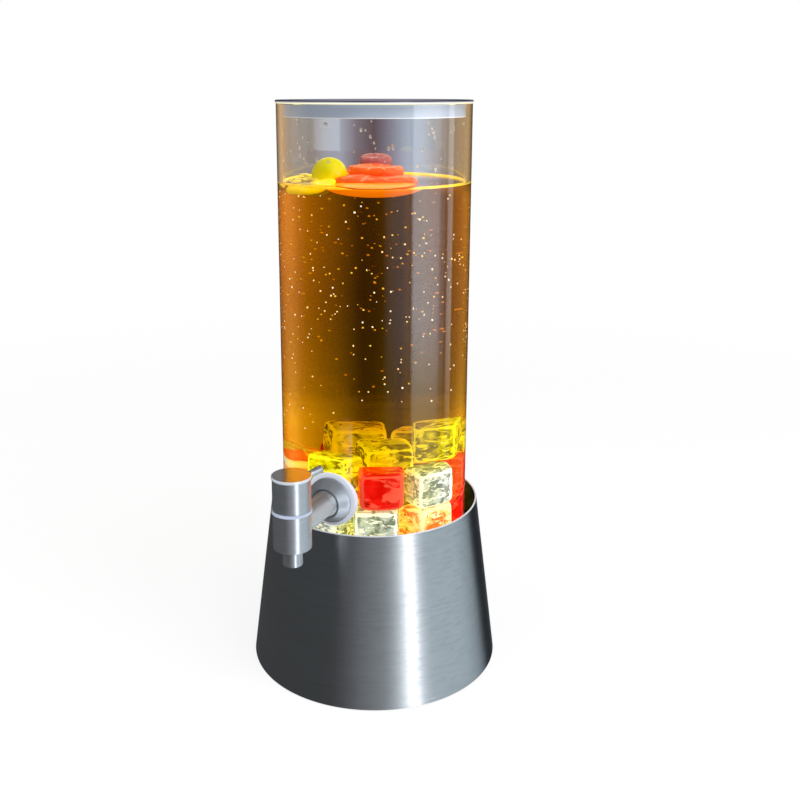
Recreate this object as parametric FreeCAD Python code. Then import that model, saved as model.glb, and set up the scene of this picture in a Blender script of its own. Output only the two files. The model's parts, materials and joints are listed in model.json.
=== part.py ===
import FreeCAD, Part
import math
import os
from FreeCAD import Vector

# Beer tower dispenser, in millimetres. +Z is up, the tap points along -Y, and the origin is
# on the tube's axis, in the plane that the foot ring stands on.

# Clear tube, its glued floor and its lid
TUBE_R = 55.0
TUBE_WALL = 3.0
TUBE_LENGTH = 272.2
FLOOR_FLANGE = 3.0
FLOOR_PLUG = 5.0
LID_PLATE = 1.9
LID_OVERHANG = 0.5
LID_PLUG_DEPTH = 7.2
LID_PLUG_WALL = 2.0
LID_PLUG_CLEARANCE = 0.8
GLUE_GAP = 0.05

# Clearance round pieces that drop in or turn
PART_GAP = 0.3

# Tapered steel base
RIM_GAP = 6.1
SHELL_SPREAD = 12.5
SHELL_HEIGHT = 99.5
SHELL_WALL = 1.0
SHELL_LIFT = 0.8
RIM_ROUND = 0.3

# Foot ring and moulded frame inside the base
FOOT_RING_HEIGHT = 4.0
FOOT_RING_WIDTH = 5.4
FRAME_CLEARANCE = 0.5
FRAME_FLANGE = 3.0
TOWER_INSET = 3.0
TOWER_WALL = 2.4
SEAT_HEIGHT = 57.0
SEAT_PLATE = 4.0
LIGHT_HOLE_INSET = 15.0
COLLAR_CLEARANCE = 0.6
COLLAR_WALL = 2.4
COLLAR_HEIGHT = 9.0
RIB_COUNT = 8
RIB_THICKNESS = 2.0
RIB_HEIGHT = 14.0
SEAT_PAD = 1.0
SEAT_PAD_WIDTH = 8.0

# Steel tabs welded inside the shell, which carry the frame
TAB_COUNT = 4
TAB_WIDTH = 14.0
TAB_THICKNESS = 1.5
TAB_LEG = 14.0
TAB_REACH = 12.0
WELD_GAP = 0.1

# Bottom cover
COVER_RIM = 7.0
COVER_THICKNESS = 2.0

# Screws
SCREW_R = 1.25
SCREW_HEAD_R = 2.6
SCREW_HEAD = 1.5
SCREW_LENGTH = 7.5
SCREW_HOLE_GAP = 0.1
SCREW_SLOT = 0.6
COVER_SCREW_COUNT = 4

# Battery tray, cells and turning cap
CELL_R = 5.25
CELL_LENGTH = 43.5
CELL_TIP = 1.0
CELL_TIP_R = 1.9
CELL_COUNT = 3
CELL_GAP = 0.7
TRAY_Y = -14.0
TRAY_WALL = 2.0
TRAY_LEG = 4.0
TRAY_POST_R = 2.5
CONTACT = 0.4
CONTACT_SPRING = 3.0
CONTACT_TAB = 4.0
CAP_MARGIN = 0.33
CAP_CLEARANCE = 0.4
CAP_LUG = 2.6
CAP_LUG_HEIGHT = 1.5
CAP_LUG_ANGLE = 24.0
CAP_LUG_COUNT = 3
CAP_TURN = 40.0
CAP_SLOT = [18.0, 2.2, 1.0]

# Light unit under the tube
HOUSING_RIM = 4.0
HOUSING_WALL = 2.0
HOUSING_HEIGHT = 12.0
LUG_COUNT = 3
LUG_R = 3.6
LUG_THICKNESS = 3.0
BOARD = 1.6
LED_R = 2.5
LED_BODY = 2.5
LED_RING_INSET = 16.0
LED_RING_COUNT = 8
LENS_THICKNESS = 2.4
LENS_SEAT = 4.1
LENS_CLEARANCE = 0.2
LENS_BELOW_SEAT = 0.1
WIRE_R = 0.7

# Push switch in the bottom cover
SWITCH_Y = 34.0
BUTTON_R = 4.0
BUTTON_RECESS = 1.0
BUTTON_TRAVEL = 1.5
BUTTON_CLEARANCE = 0.1
BUTTON_FLANGE = 1.5
BEZEL_R = 8.0
BEZEL_FLANGE = 0.8
BEZEL_NECK_R = 5.9
BEZEL_NECK = 6.0
SWITCH_BODY_HEIGHT = 16.0
SWITCH_CHAMBER = 6.4
SWITCH_STOP_R = 1.4
SWITCH_LEAD = 4.0
DOME_TIP_R = 2.8
DOME_SKIRT_R = 5.4
DOME_WALL = 0.8

# Tap: shank through the tube's wall
SHANK_ABOVE_RIM = 17.2
SHANK_R = 6.7
SHANK_BORE_R = 4.0
SHANK_INSIDE = 13.0
SHANK_HOLE_GAP = 0.3
FIT_GAP = 0.05
OUTER_GASKET_RIM = 2.5
OUTER_GASKET = 1.4
INNER_GASKET_WIDTH = 4.3
INNER_GASKET = 2.4
WASHER = 1.0
NUT_WALL = 2.8
NUT_CHAMFER = 1.0
NUT = 5.0
FLANGE_EDGE = 2.6
FLANGE_DEPTH = 7.0
FLANGE_SLOPE = 4.0
FLANGE_GROOVE = 0.6
FLANGE_LIP = 0.7
FLANGE_WEB = 3.2
FLANGE_ROUND = 0.5
COLLAR_RIM = 0.9
COLLAR_LENGTH = 6.4
COLLAR_TAPER = 2.2

# Tap: body, spout, knob and valve core
TAP_STANDOFF = 43.7
TAP_R = 10.15
BODY_BELOW_SHANK = 3.4
BODY_ABOVE_SHANK = 3.1
BODY_FLOOR = 4.6
BODY_ROUND = 0.4
SPOUT_R = 5.3
SPOUT_LENGTH = 9.8
SPOUT_BORE_R = 3.5
SPOUT_SPIGOT = 2.6
SEAL = 1.5
SEAL_PROUD = 0.45
SEAL_GAP = 0.1
KNOB_LENGTH = 18.4
KNOB_TOP = 6.3
KNOB_RIM = 1.3
KNOB_RIM_PROUD = 0.4
KNOB_BEVEL = 0.3
CHAMBER_WALL = 2.15
CORE_CLEARANCE = 0.05
PORT_R = 3.2
PORT_ROOF = 0.4
RING_WIRE_R = 0.5
RING_GROOVE = 1.05
STOP_ANGLE = 135.0
STOP_R = 1.5
STOP_DOG_R = 0.9
STOP_DOG = 1.2
STOP_GROOVE = 1.4
STOP_GAP = 0.15
VALVE_TURN = 90.0
PIN_R = 2.0
PIN_LENGTH = 7.8
PIN_ROOT = 4.6
PIN_DROP = 1.95
PIN_TILT = 17.5
PIN_ANGLE = 55.0
PIN_ROUND = 0.5
GRUB_ANGLE = 145.0
GRUB_DROP = 12.0

# Levels worked out from the sizes above
SHELL_TOP = SHELL_LIFT + SHELL_HEIGHT
RIM_R = TUBE_R + RIM_GAP + SHELL_WALL
FOOT_R = RIM_R + SHELL_SPREAD
TOWER_R = TUBE_R - TOWER_INSET
LIGHT_HOLE_R = TUBE_R - LIGHT_HOLE_INSET
COVER_R = TOWER_R + COVER_RIM
HOUSING_R = LIGHT_HOLE_R + HOUSING_RIM
LED_RING_R = HOUSING_R - HOUSING_WALL - LED_RING_INSET
FRAME_TOP = FOOT_RING_HEIGHT + FRAME_FLANGE
COVER_Z = FOOT_RING_HEIGHT - COVER_THICKNESS
SEAT_UNDER = SEAT_HEIGHT - SEAT_PLATE
VESSEL_Z = SEAT_HEIGHT + SEAT_PAD
TUBE_Z = VESSEL_Z + FLOOR_FLANGE
TUBE_TOP = TUBE_Z + TUBE_LENGTH
TUBE_IN = TUBE_R - TUBE_WALL
HOUSING_Z = SEAT_UNDER - HOUSING_HEIGHT
BOARD_Z = HOUSING_Z + HOUSING_WALL
CELL_PITCH = 2 * CELL_R + CELL_GAP
CELLS_HALF = CELL_PITCH * (CELL_COUNT - 1) / 2 + CELL_R
CAP_HOLE_R = math.hypot((CELL_LENGTH + CELL_TIP) / 2, CELLS_HALF) + CAP_MARGIN
CAP_R = CAP_HOLE_R - CAP_CLEARANCE
TRAY_Z = FOOT_RING_HEIGHT + TRAY_LEG
CELL_Z = TRAY_Z + CELL_R + CELL_GAP
TRAY_LENGTH = CELL_LENGTH + CELL_TIP + CONTACT_SPRING + 2 * CONTACT
TRAY_WIDTH = CELL_COUNT * CELL_PITCH + CELL_GAP
TRAY_ROOF = CELL_Z + CELL_R + GLUE_GAP
SHANK_HEIGHT = SHELL_TOP + SHANK_ABOVE_RIM
COLLAR_R = SHANK_R + COLLAR_RIM
FLANGE_LIP_R = COLLAR_R + FLANGE_GROOVE + FLANGE_LIP
FLANGE_R = FLANGE_LIP_R + FLANGE_SLOPE
OUTER_GASKET_R = FLANGE_R + OUTER_GASKET_RIM
INNER_GASKET_R = SHANK_R + INNER_GASKET_WIDTH
NUT_FLATS = 2 * (SHANK_R + NUT_WALL)
FLANGE_FOOT = TUBE_R + OUTER_GASKET
TAP_REACH = TUBE_R + TAP_STANDOFF
BODY_BOTTOM = SHANK_HEIGHT - SHANK_R - BODY_BELOW_SHANK
TAP_TOP = SHANK_HEIGHT + SHANK_R + BODY_ABOVE_SHANK
CHAMBER_R = TAP_R - CHAMBER_WALL
CORE_R = CHAMBER_R - CORE_CLEARANCE
CHAMBER_Z = BODY_BOTTOM + BODY_FLOOR
KNOB_Z = TAP_TOP + SEAL + SEAL_GAP
KNOB_TOP_Z = KNOB_Z + KNOB_LENGTH
CORE_TOP = KNOB_TOP_Z - KNOB_TOP - CORE_CLEARANCE
SWITCH_BODY_TOP = FOOT_RING_HEIGHT + SWITCH_BODY_HEIGHT
BEZEL_TOP = COVER_Z + BEZEL_NECK
BUTTON_SHOULDER = BEZEL_TOP + BUTTON_CLEARANCE
BUTTON_TOP = BUTTON_SHOULDER + BUTTON_FLANGE
CHAMBER_TOP = BEZEL_TOP + SWITCH_CHAMBER


def place_out(shape, angle, radius=0.0):
    """Moves a shape out along +X, then turns it about the tube's axis."""
    moved = shape.copy()
    moved.translate(Vector(radius, 0, 0))
    moved.rotate(Vector(0, 0, 0), Vector(0, 0, 1), angle)
    return moved


def post(radius, low, high, x=0.0, y=0.0):
    return Part.makeCylinder(radius, high - low, Vector(x, y, low))


def ring(outer, inner, low, high, x=0.0, y=0.0):
    return post(outer, low, high, x, y).cut(post(inner, low - 1, high + 1, x, y))


def block(x0, x1, y0, y1, z0, z1):
    return Part.makeBox(x1 - x0, y1 - y0, z1 - z0, Vector(x0, y0, z0))


def turned(points):
    """A solid turned about Z from its half section, a list of (radius, height)."""
    corners = [Vector(r, 0, z) for r, z in points]
    face = Part.Face(Part.makePolygon(corners + corners[:1]))
    return face.revolve(Vector(0, 0, 0), Vector(0, 0, 1), 360)


def joined(shapes):
    whole = shapes[0]
    for shape in shapes[1:]:
        whole = whole.fuse(shape)
    return whole.removeSplitter()


def around(count, make, start=0.0):
    """Copies of one shape at equal steps about the tube's axis."""
    return [place_out(make, start + 360.0 * k / count) for k in range(count)]


def on_shank(shape):
    """Lays a shape that stands on Z along the shank, so that its height runs out along -Y."""
    laid = shape.copy()
    laid.rotate(Vector(0, 0, 0), Vector(1, 0, 0), 90)
    laid.translate(Vector(0, 0, SHANK_HEIGHT))
    return laid


def on_tap(shape):
    """Moves a shape from the tube's axis to the tap's axis."""
    moved = shape.copy()
    moved.translate(Vector(0, -TAP_REACH, 0))
    return moved


def radial_pin(radius, inner, outer, angle, height):
    """A rod that points away from the tap's axis at one height."""
    rod = Part.makeCylinder(radius, outer - inner, Vector(inner, 0, height), Vector(1, 0, 0))
    return on_tap(place_out(rod, angle))


def rounded(shape, size, near):
    """Rounds the circular edges whose centre height is in near."""
    picked = []
    for edge in shape.Edges:
        if edge.Curve.TypeId != "Part::GeomCircle":
            continue
        if any(abs(edge.Curve.Center.z - z) < 1e-6 for z in near):
            picked.append(edge)
    return shape.makeFillet(size, picked)


def shell_outer_r(height):
    return FOOT_R - (FOOT_R - RIM_R) * (height - SHELL_LIFT) / SHELL_HEIGHT


def shell_inner_r(height):
    return shell_outer_r(height) - SHELL_WALL


def shell_inside(low, high, gap):
    """The space inside the tapered shell between two heights."""
    lower = shell_inner_r(low) - gap
    upper = shell_inner_r(high) - gap
    return Part.makeCone(lower, upper, high - low, Vector(0, 0, low))


# Base

def base_shell():
    wall = turned([
        (FOOT_R - SHELL_WALL, SHELL_LIFT),
        (FOOT_R, SHELL_LIFT),
        (RIM_R, SHELL_TOP),
        (RIM_R - SHELL_WALL, SHELL_TOP),
    ])
    return rounded(wall, min(RIM_ROUND, SHELL_WALL / 3), [SHELL_TOP])


def foot_ring_outer_r():
    """The foot ring is as wide as the frame's flange that it is glued to."""
    return shell_inner_r(FRAME_TOP) - FRAME_CLEARANCE


def tab_screw_r():
    """Where the frame's screws stand, with their heads just inside the foot ring."""
    return foot_ring_outer_r() - FOOT_RING_WIDTH - SCREW_HEAD_R - PART_GAP


def shell_tabs():
    low = FRAME_TOP
    high = low + TAB_LEG
    reach = shell_inner_r(low) - TAB_REACH
    inside = shell_inside(low, high, WELD_GAP)
    core = shell_inside(low, high, WELD_GAP + TAB_THICKNESS)
    plate = block(reach, FOOT_R, -TAB_WIDTH / 2, TAB_WIDTH / 2, low, low + TAB_THICKNESS)
    leg = block(reach, FOOT_R, -TAB_WIDTH / 2, TAB_WIDTH / 2, low, high).cut(core)
    tab = joined([plate.common(inside), leg.common(inside)])
    tab = tab.cut(post(SCREW_R + SCREW_HOLE_GAP, low - 1, low + TAB_THICKNESS + 1, tab_screw_r()))
    return around(TAB_COUNT, tab, 180.0 / TAB_COUNT)


def screw(length, top=0.0):
    """A pan-head screw pointing up, with its head's seat at height 0 and a cross in the head."""
    head = post(SCREW_HEAD_R, -SCREW_HEAD, 0)
    slot = block(-SCREW_HEAD_R / 2, SCREW_HEAD_R / 2, -SCREW_SLOT / 2, SCREW_SLOT / 2,
                 -SCREW_HEAD - 1, -SCREW_HEAD / 2)
    turned_slot = place_out(slot, 90)
    body = joined([head, post(SCREW_R, 0, length)]).cut(slot).cut(turned_slot)
    body.translate(Vector(0, 0, top))
    return body


def frame_screws():
    one = screw(SCREW_LENGTH, FOOT_RING_HEIGHT)
    one.translate(Vector(tab_screw_r(), 0, 0))
    return around(TAB_COUNT, one, 180.0 / TAB_COUNT)


def foot_ring():
    outer = foot_ring_outer_r()
    return ring(outer, outer - FOOT_RING_WIDTH, 0, FOOT_RING_HEIGHT)


def cover_screw_r():
    return (COVER_R + TOWER_R - TOWER_WALL) / 2 + SCREW_R / 2


def rib():
    outer = TUBE_R + COLLAR_CLEARANCE + COLLAR_WALL
    inner = TOWER_R - TOWER_WALL / 2
    corners = [
        Vector(inner, -RIB_THICKNESS / 2, SEAT_UNDER),
        Vector(outer, -RIB_THICKNESS / 2, SEAT_UNDER),
        Vector(inner, -RIB_THICKNESS / 2, SEAT_UNDER - RIB_HEIGHT),
    ]
    face = Part.Face(Part.makePolygon(corners + corners[:1]))
    return face.extrude(Vector(0, RIB_THICKNESS, 0))


def lug_r():
    """Where the housing's screws stand, midway between the housing and the tower's wall."""
    return (HOUSING_R + TOWER_R - TOWER_WALL) / 2


def base_frame():
    collar_in = TUBE_R + COLLAR_CLEARANCE
    collar_out = collar_in + COLLAR_WALL
    hollow = TOWER_R - TOWER_WALL
    body = joined([
        ring(foot_ring_outer_r(), hollow, FOOT_RING_HEIGHT, FRAME_TOP),
        ring(TOWER_R, hollow, FOOT_RING_HEIGHT, SEAT_HEIGHT),
        ring(collar_out, LIGHT_HOLE_R, SEAT_UNDER, SEAT_HEIGHT),
        ring(collar_out, collar_in, SEAT_UNDER, SEAT_HEIGHT + COLLAR_HEIGHT),
    ] + around(RIB_COUNT, rib()))
    lens_z = SEAT_HEIGHT - LENS_BELOW_SEAT - LENS_THICKNESS
    body = body.cut(post(LIGHT_HOLE_R + LENS_SEAT, lens_z, SEAT_HEIGHT + 1))
    hole = SCREW_R + SCREW_HOLE_GAP
    tab_hole = post(hole, 0, FRAME_TOP + 1, tab_screw_r())
    cover_hole = post(hole, 0, FRAME_TOP + 1, cover_screw_r())
    lug_hole = post(hole, SEAT_UNDER - 1, SEAT_UNDER + SEAT_PLATE / 2, lug_r())
    for cutter in around(TAB_COUNT, tab_hole, 180.0 / TAB_COUNT):
        body = body.cut(cutter)
    for cutter in around(COVER_SCREW_COUNT, cover_hole):
        body = body.cut(cutter)
    for cutter in around(LUG_COUNT, lug_hole, 90):
        body = body.cut(cutter)
    return body


def tube_seat_pad():
    return ring(TUBE_R, TUBE_R - SEAT_PAD_WIDTH, SEAT_HEIGHT, VESSEL_Z)


# Bottom cover, battery tray and cap

def tray_post_places():
    """The four corner posts of the tray, clear of the cap's lugs."""
    x = TRAY_LENGTH / 2 + TRAY_WALL
    y = TRAY_WIDTH / 2 + TRAY_WALL
    reach = CAP_HOLE_R + CAP_LUG + TRAY_POST_R + PART_GAP
    spread = max(1.0, reach / math.hypot(x, y))
    return [(sx * x * spread, TRAY_Y + sy * y * spread) for sx in (-1, 1) for sy in (-1, 1)]


def base_cover():
    body = post(COVER_R, COVER_Z, FOOT_RING_HEIGHT)
    body = body.cut(post(CAP_HOLE_R, COVER_Z - 1, FOOT_RING_HEIGHT + 1, 0, TRAY_Y))
    for k in range(CAP_LUG_COUNT):
        notch = cap_lug(COVER_Z - 1, FOOT_RING_HEIGHT + 1, CAP_CLEARANCE)
        notch.rotate(Vector(0, 0, 0), Vector(0, 0, 1), 360.0 * k / CAP_LUG_COUNT - CAP_TURN)
        notch.translate(Vector(0, TRAY_Y, 0))
        body = body.cut(notch)
    hole = SCREW_R + SCREW_HOLE_GAP
    for cutter in around(COVER_SCREW_COUNT, post(hole, 0, FRAME_TOP, cover_screw_r())):
        body = body.cut(cutter)
    for x, y in tray_post_places():
        body = body.cut(post(hole, 0, FRAME_TOP, x, y))
    return body.cut(post(BEZEL_NECK_R + FIT_GAP, 0, FRAME_TOP, 0, SWITCH_Y))


def cap_lug(low, high, gap):
    """One locking lug of the cap: a sector of a ring, about the cap's own axis."""
    angle = CAP_LUG_ANGLE + math.degrees(2 * gap / CAP_R)
    outer = CAP_HOLE_R + CAP_LUG + gap
    sector = Part.makeCylinder(outer, high - low, Vector(0, 0, low), Vector(0, 0, 1), angle)
    sector.rotate(Vector(0, 0, 0), Vector(0, 0, 1), -angle / 2)
    return sector.cut(post(CAP_R / 2, low - 1, high + 1))


def battery_cap():
    lug_z = FOOT_RING_HEIGHT + PART_GAP
    top = lug_z + CAP_LUG_HEIGHT
    parts = [post(CAP_R, COVER_Z, top)]
    for k in range(CAP_LUG_COUNT):
        lug = cap_lug(lug_z, top, 0.0)
        lug.rotate(Vector(0, 0, 0), Vector(0, 0, 1), 360.0 * k / CAP_LUG_COUNT)
        parts.append(lug)
    body = joined(parts)
    length, width, depth = CAP_SLOT
    slot = block(-length / 2, length / 2, -width / 2, width / 2, COVER_Z - 1, COVER_Z + depth)
    body = body.cut(slot)
    body.translate(Vector(0, TRAY_Y, 0))
    return body


def cover_screws():
    rim = screw(SCREW_LENGTH - FRAME_FLANGE, COVER_Z)
    rim.translate(Vector(cover_screw_r(), 0, 0))
    screws = around(COVER_SCREW_COUNT, rim)
    for x, y in tray_post_places():
        one = screw(SCREW_LENGTH - FRAME_FLANGE, COVER_Z)
        one.translate(Vector(x, y, 0))
        screws.append(one)
    return screws


def contact_tab_x():
    return TRAY_LENGTH / 2 - CONTACT / 2


def battery_tray():
    half_x = TRAY_LENGTH / 2
    half_y = TRAY_WIDTH / 2
    outer = block(-half_x - TRAY_WALL, half_x + TRAY_WALL, TRAY_Y - half_y - TRAY_WALL,
                  TRAY_Y + half_y + TRAY_WALL, TRAY_Z, TRAY_ROOF + TRAY_WALL)
    inner = block(-half_x, half_x, TRAY_Y - half_y, TRAY_Y + half_y, TRAY_Z - 1, TRAY_ROOF)
    shell = outer.cut(inner)
    for side in (-1, 1):
        x = side * contact_tab_x()
        slit = block(x - CONTACT, x + CONTACT, TRAY_Y - CONTACT_TAB / 2 - CONTACT,
                     TRAY_Y + CONTACT_TAB / 2 + CONTACT, TRAY_ROOF - 1, TRAY_ROOF + TRAY_WALL + 1)
        shell = shell.cut(slit)
    posts = []
    for x, y in tray_post_places():
        column = post(TRAY_POST_R, FOOT_RING_HEIGHT, TRAY_ROOF + TRAY_WALL, x, y)
        drill = post(SCREW_R + SCREW_HOLE_GAP, 0, FOOT_RING_HEIGHT + SCREW_LENGTH - FRAME_FLANGE, x, y)
        posts.append(column.cut(inner).cut(drill))
    return joined([shell] + posts)


def cell_rows():
    """Each cell's y and the way its tip points."""
    middle = (CELL_COUNT - 1) / 2
    return [(TRAY_Y + (k - middle) * CELL_PITCH, 1 if k % 2 else -1) for k in range(CELL_COUNT)]


def tip_face_x(way):
    """Where a cell's tip meets its flat contact."""
    return way * (TRAY_LENGTH / 2 - CONTACT)


def batteries():
    cells = []
    for y, way in cell_rows():
        tip = tip_face_x(way)
        shoulder = tip - way * CELL_TIP
        base = Vector(shoulder, y, CELL_Z)
        can = Part.makeCylinder(CELL_R, CELL_LENGTH, base, Vector(-way, 0, 0))
        button = Part.makeCylinder(CELL_TIP_R, CELL_TIP, base, Vector(way, 0, 0))
        cells.append(joined([can, button]))
    return cells


def battery_contacts():
    """Two end plates with a soldering tab and one sprung cone for each cell end that is flat."""
    plates = []
    for side in (-1, 1):
        x = side * contact_tab_x()
        half = CONTACT / 2
        width = TRAY_WIDTH / 2 - CELL_GAP
        plate = block(x - half, x + half, TRAY_Y - width, TRAY_Y + width, TRAY_Z, TRAY_ROOF)
        tab = block(x - half, x + half, TRAY_Y - CONTACT_TAB / 2, TRAY_Y + CONTACT_TAB / 2,
                    TRAY_ROOF - CONTACT, TRAY_ROOF + TRAY_WALL + CONTACT_TAB)
        parts = [plate, tab]
        for y, way in cell_rows():
            if way == side:
                continue
            foot = Vector(side * (TRAY_LENGTH / 2 - CONTACT), y, CELL_Z)
            parts.append(Part.makeCone(CELL_R / 2, CELL_R / 4, CONTACT_SPRING, foot, Vector(-side, 0, 0)))
        plates.append(joined(parts))
    return plates


def wire_places():
    """Each wire's x, y and the height that it starts from."""
    tab_top = TRAY_ROOF + TRAY_WALL + CONTACT_TAB
    return [
        (-contact_tab_x(), TRAY_Y, tab_top),
        (contact_tab_x(), TRAY_Y, tab_top),
        (-SWITCH_LEAD, SWITCH_Y, SWITCH_BODY_TOP),
        (SWITCH_LEAD, SWITCH_Y, SWITCH_BODY_TOP),
    ]


def lead_wires():
    return [post(WIRE_R, low, BOARD_Z, x, y) for x, y, low in wire_places()]


# Light unit

def light_housing():
    cup = post(HOUSING_R, HOUSING_Z, SEAT_UNDER)
    cup = cup.cut(post(HOUSING_R - HOUSING_WALL, BOARD_Z, SEAT_UNDER + 1))
    lug = joined([
        post(LUG_R, SEAT_UNDER - LUG_THICKNESS, SEAT_UNDER, lug_r()),
        block(HOUSING_R - HOUSING_WALL / 2, lug_r(), -LUG_R, LUG_R, SEAT_UNDER - LUG_THICKNESS, SEAT_UNDER),
    ])
    lug = lug.common(post(TOWER_R - TOWER_WALL - PART_GAP, SEAT_UNDER - LUG_THICKNESS, SEAT_UNDER))
    body = joined([cup] + around(LUG_COUNT, lug, 90))
    drill = post(SCREW_R + SCREW_HOLE_GAP, SEAT_UNDER - LUG_THICKNESS - 1, SEAT_UNDER + 1, lug_r())
    for cutter in around(LUG_COUNT, drill, 90):
        body = body.cut(cutter)
    for x, y, _ in wire_places():
        body = body.cut(post(WIRE_R + SCREW_HOLE_GAP, HOUSING_Z - 1, BOARD_Z + 1, x, y))
    return body


def housing_screws():
    one = screw(LUG_THICKNESS + SEAT_PLATE / 2 - SCREW_HOLE_GAP, SEAT_UNDER - LUG_THICKNESS)
    one.translate(Vector(lug_r(), 0, 0))
    return around(LUG_COUNT, one, 90)


def led_board():
    return post(HOUSING_R - HOUSING_WALL - PART_GAP, BOARD_Z, BOARD_Z + BOARD)


def leds():
    low = BOARD_Z + BOARD
    one = post(LED_R, low, low + LED_BODY)
    dome = Part.makeSphere(LED_R, Vector(0, 0, low + LED_BODY))
    one = joined([one, dome.common(post(LED_R + 1, low + LED_BODY, low + LED_BODY + LED_R + 1))])
    outer = one.copy()
    outer.translate(Vector(LED_RING_R, 0, 0))
    return [one] + around(LED_RING_COUNT, outer, 180.0 / LED_RING_COUNT)


def light_lens():
    top = SEAT_HEIGHT - LENS_BELOW_SEAT
    return post(LIGHT_HOLE_R + LENS_SEAT - LENS_CLEARANCE, top - LENS_THICKNESS, top)


# Push switch

def switch_bezel():
    flange = ring(BEZEL_R, BUTTON_R + BUTTON_CLEARANCE, COVER_Z - BEZEL_FLANGE, COVER_Z, 0, SWITCH_Y)
    neck = ring(BEZEL_NECK_R, BUTTON_R + BUTTON_CLEARANCE, COVER_Z - BEZEL_FLANGE, BEZEL_TOP, 0, SWITCH_Y)
    return joined([flange, neck])


def switch_body():
    body = post(BEZEL_R, FOOT_RING_HEIGHT, SWITCH_BODY_TOP, 0, SWITCH_Y)
    body = body.cut(post(BEZEL_NECK_R + FIT_GAP, FOOT_RING_HEIGHT - 1, CHAMBER_TOP, 0, SWITCH_Y))
    stop_z = BUTTON_TOP + BUTTON_TRAVEL + BUTTON_CLEARANCE
    return joined([body, post(SWITCH_STOP_R, stop_z, SWITCH_BODY_TOP, 0, SWITCH_Y)])


def switch_button():
    flange_r = BEZEL_NECK_R - BUTTON_CLEARANCE
    cap = post(BUTTON_R, BUTTON_RECESS, BUTTON_TOP, 0, SWITCH_Y)
    cap = rounded(cap, BUTTON_R / 8, [BUTTON_RECESS])
    return joined([cap, post(flange_r, BUTTON_SHOULDER, BUTTON_TOP, 0, SWITCH_Y)])


def switch_dome():
    """A moulded rubber cone that pushes the button back down against the bezel."""
    dome = turned([
        (DOME_TIP_R - DOME_WALL, BUTTON_TOP),
        (DOME_TIP_R, BUTTON_TOP),
        (DOME_SKIRT_R, CHAMBER_TOP),
        (DOME_SKIRT_R - DOME_WALL, CHAMBER_TOP),
    ])
    dome.translate(Vector(0, SWITCH_Y, 0))
    return dome


# Vessel

def tube():
    wall = ring(TUBE_R, TUBE_IN, TUBE_Z, TUBE_TOP)
    return wall.cut(on_shank(post(SHANK_R + SHANK_HOLE_GAP, TUBE_IN - 5, TUBE_R + 5)))


def tube_floor():
    flange = post(TUBE_R, VESSEL_Z, TUBE_Z)
    return joined([flange, post(TUBE_IN - GLUE_GAP, VESSEL_Z, TUBE_Z + FLOOR_PLUG)])


def lid_plate():
    plate = post(TUBE_R + LID_OVERHANG, TUBE_TOP, TUBE_TOP + LID_PLATE)
    return rounded(plate, LID_PLATE / 5, [TUBE_TOP + LID_PLATE])


def lid_plug():
    outer = TUBE_IN - LID_PLUG_CLEARANCE
    return ring(outer, outer - LID_PLUG_WALL, TUBE_TOP - LID_PLUG_DEPTH, TUBE_TOP)


# Tap: shank and its seals

def outer_gasket():
    disc = on_shank(post(OUTER_GASKET_R, TUBE_IN, FLANGE_FOOT))
    disc = disc.cut(post(TUBE_R + GLUE_GAP, VESSEL_Z, TUBE_TOP))
    return disc.cut(on_shank(post(SHANK_R + FIT_GAP, 0, TAP_REACH)))


def inner_gasket():
    disc = on_shank(post(INNER_GASKET_R, TUBE_IN - INNER_GASKET, TUBE_R))
    disc = disc.common(post(TUBE_IN - GLUE_GAP, TUBE_Z, TUBE_TOP))
    return disc.cut(on_shank(post(SHANK_R + FIT_GAP, 0, TAP_REACH)))


def shank_washer():
    out = TUBE_IN - INNER_GASKET
    return on_shank(ring(INNER_GASKET_R, SHANK_R + FIT_GAP, out - WASHER, out))


def shank_nut():
    out = TUBE_IN - INNER_GASKET - WASHER
    corner = NUT_FLATS / math.sqrt(3)
    angles = [math.radians(60 * k) for k in range(6)]
    points = [Vector(corner * math.cos(a), corner * math.sin(a), out - NUT) for a in angles]
    prism = Part.Face(Part.makePolygon(points + points[:1])).extrude(Vector(0, 0, NUT))
    chamfer = turned([
        (0, out - NUT),
        (NUT_FLATS / 2, out - NUT),
        (corner, out - NUT + NUT_CHAMFER),
        (corner, out),
        (0, out),
    ])
    return on_shank(prism.common(chamfer).cut(post(SHANK_R + FIT_GAP, 0, TAP_REACH)))


def tap_shank():
    pipe = on_shank(ring(SHANK_R, SHANK_BORE_R, TUBE_R - SHANK_INSIDE, TAP_REACH))
    return pipe.cut(on_tap(post(CHAMBER_R, CHAMBER_Z - 1, TAP_TOP + 1)))


def tap_flange():
    web = FLANGE_FOOT + FLANGE_WEB
    edge = FLANGE_FOOT + FLANGE_EDGE
    lip = FLANGE_FOOT + FLANGE_DEPTH
    bell = turned([
        (SHANK_R + FIT_GAP, FLANGE_FOOT),
        (FLANGE_R, FLANGE_FOOT),
        (FLANGE_R, edge - FLANGE_ROUND),
        (FLANGE_R - FLANGE_ROUND, edge),
        (FLANGE_LIP_R, lip),
        (FLANGE_LIP_R - FLANGE_LIP, lip),
        (FLANGE_LIP_R - FLANGE_LIP, web),
        (SHANK_R + FIT_GAP, web),
    ])
    return on_shank(bell)


def shank_collar():
    foot = FLANGE_FOOT + FLANGE_WEB
    top = foot + COLLAR_LENGTH
    cone = turned([
        (SHANK_R + FIT_GAP, foot),
        (COLLAR_R, foot),
        (COLLAR_R, top - COLLAR_TAPER),
        (SHANK_R + 2 * FIT_GAP, top),
        (SHANK_R + FIT_GAP, top),
    ])
    return on_shank(cone)


# Tap: body and spout

def stop_height():
    """The stop screw's height, between the two sealing rings."""
    return TAP_TOP - RING_GROOVE - 3 * STOP_GAP - STOP_DOG_R - RING_WIRE_R


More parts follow.
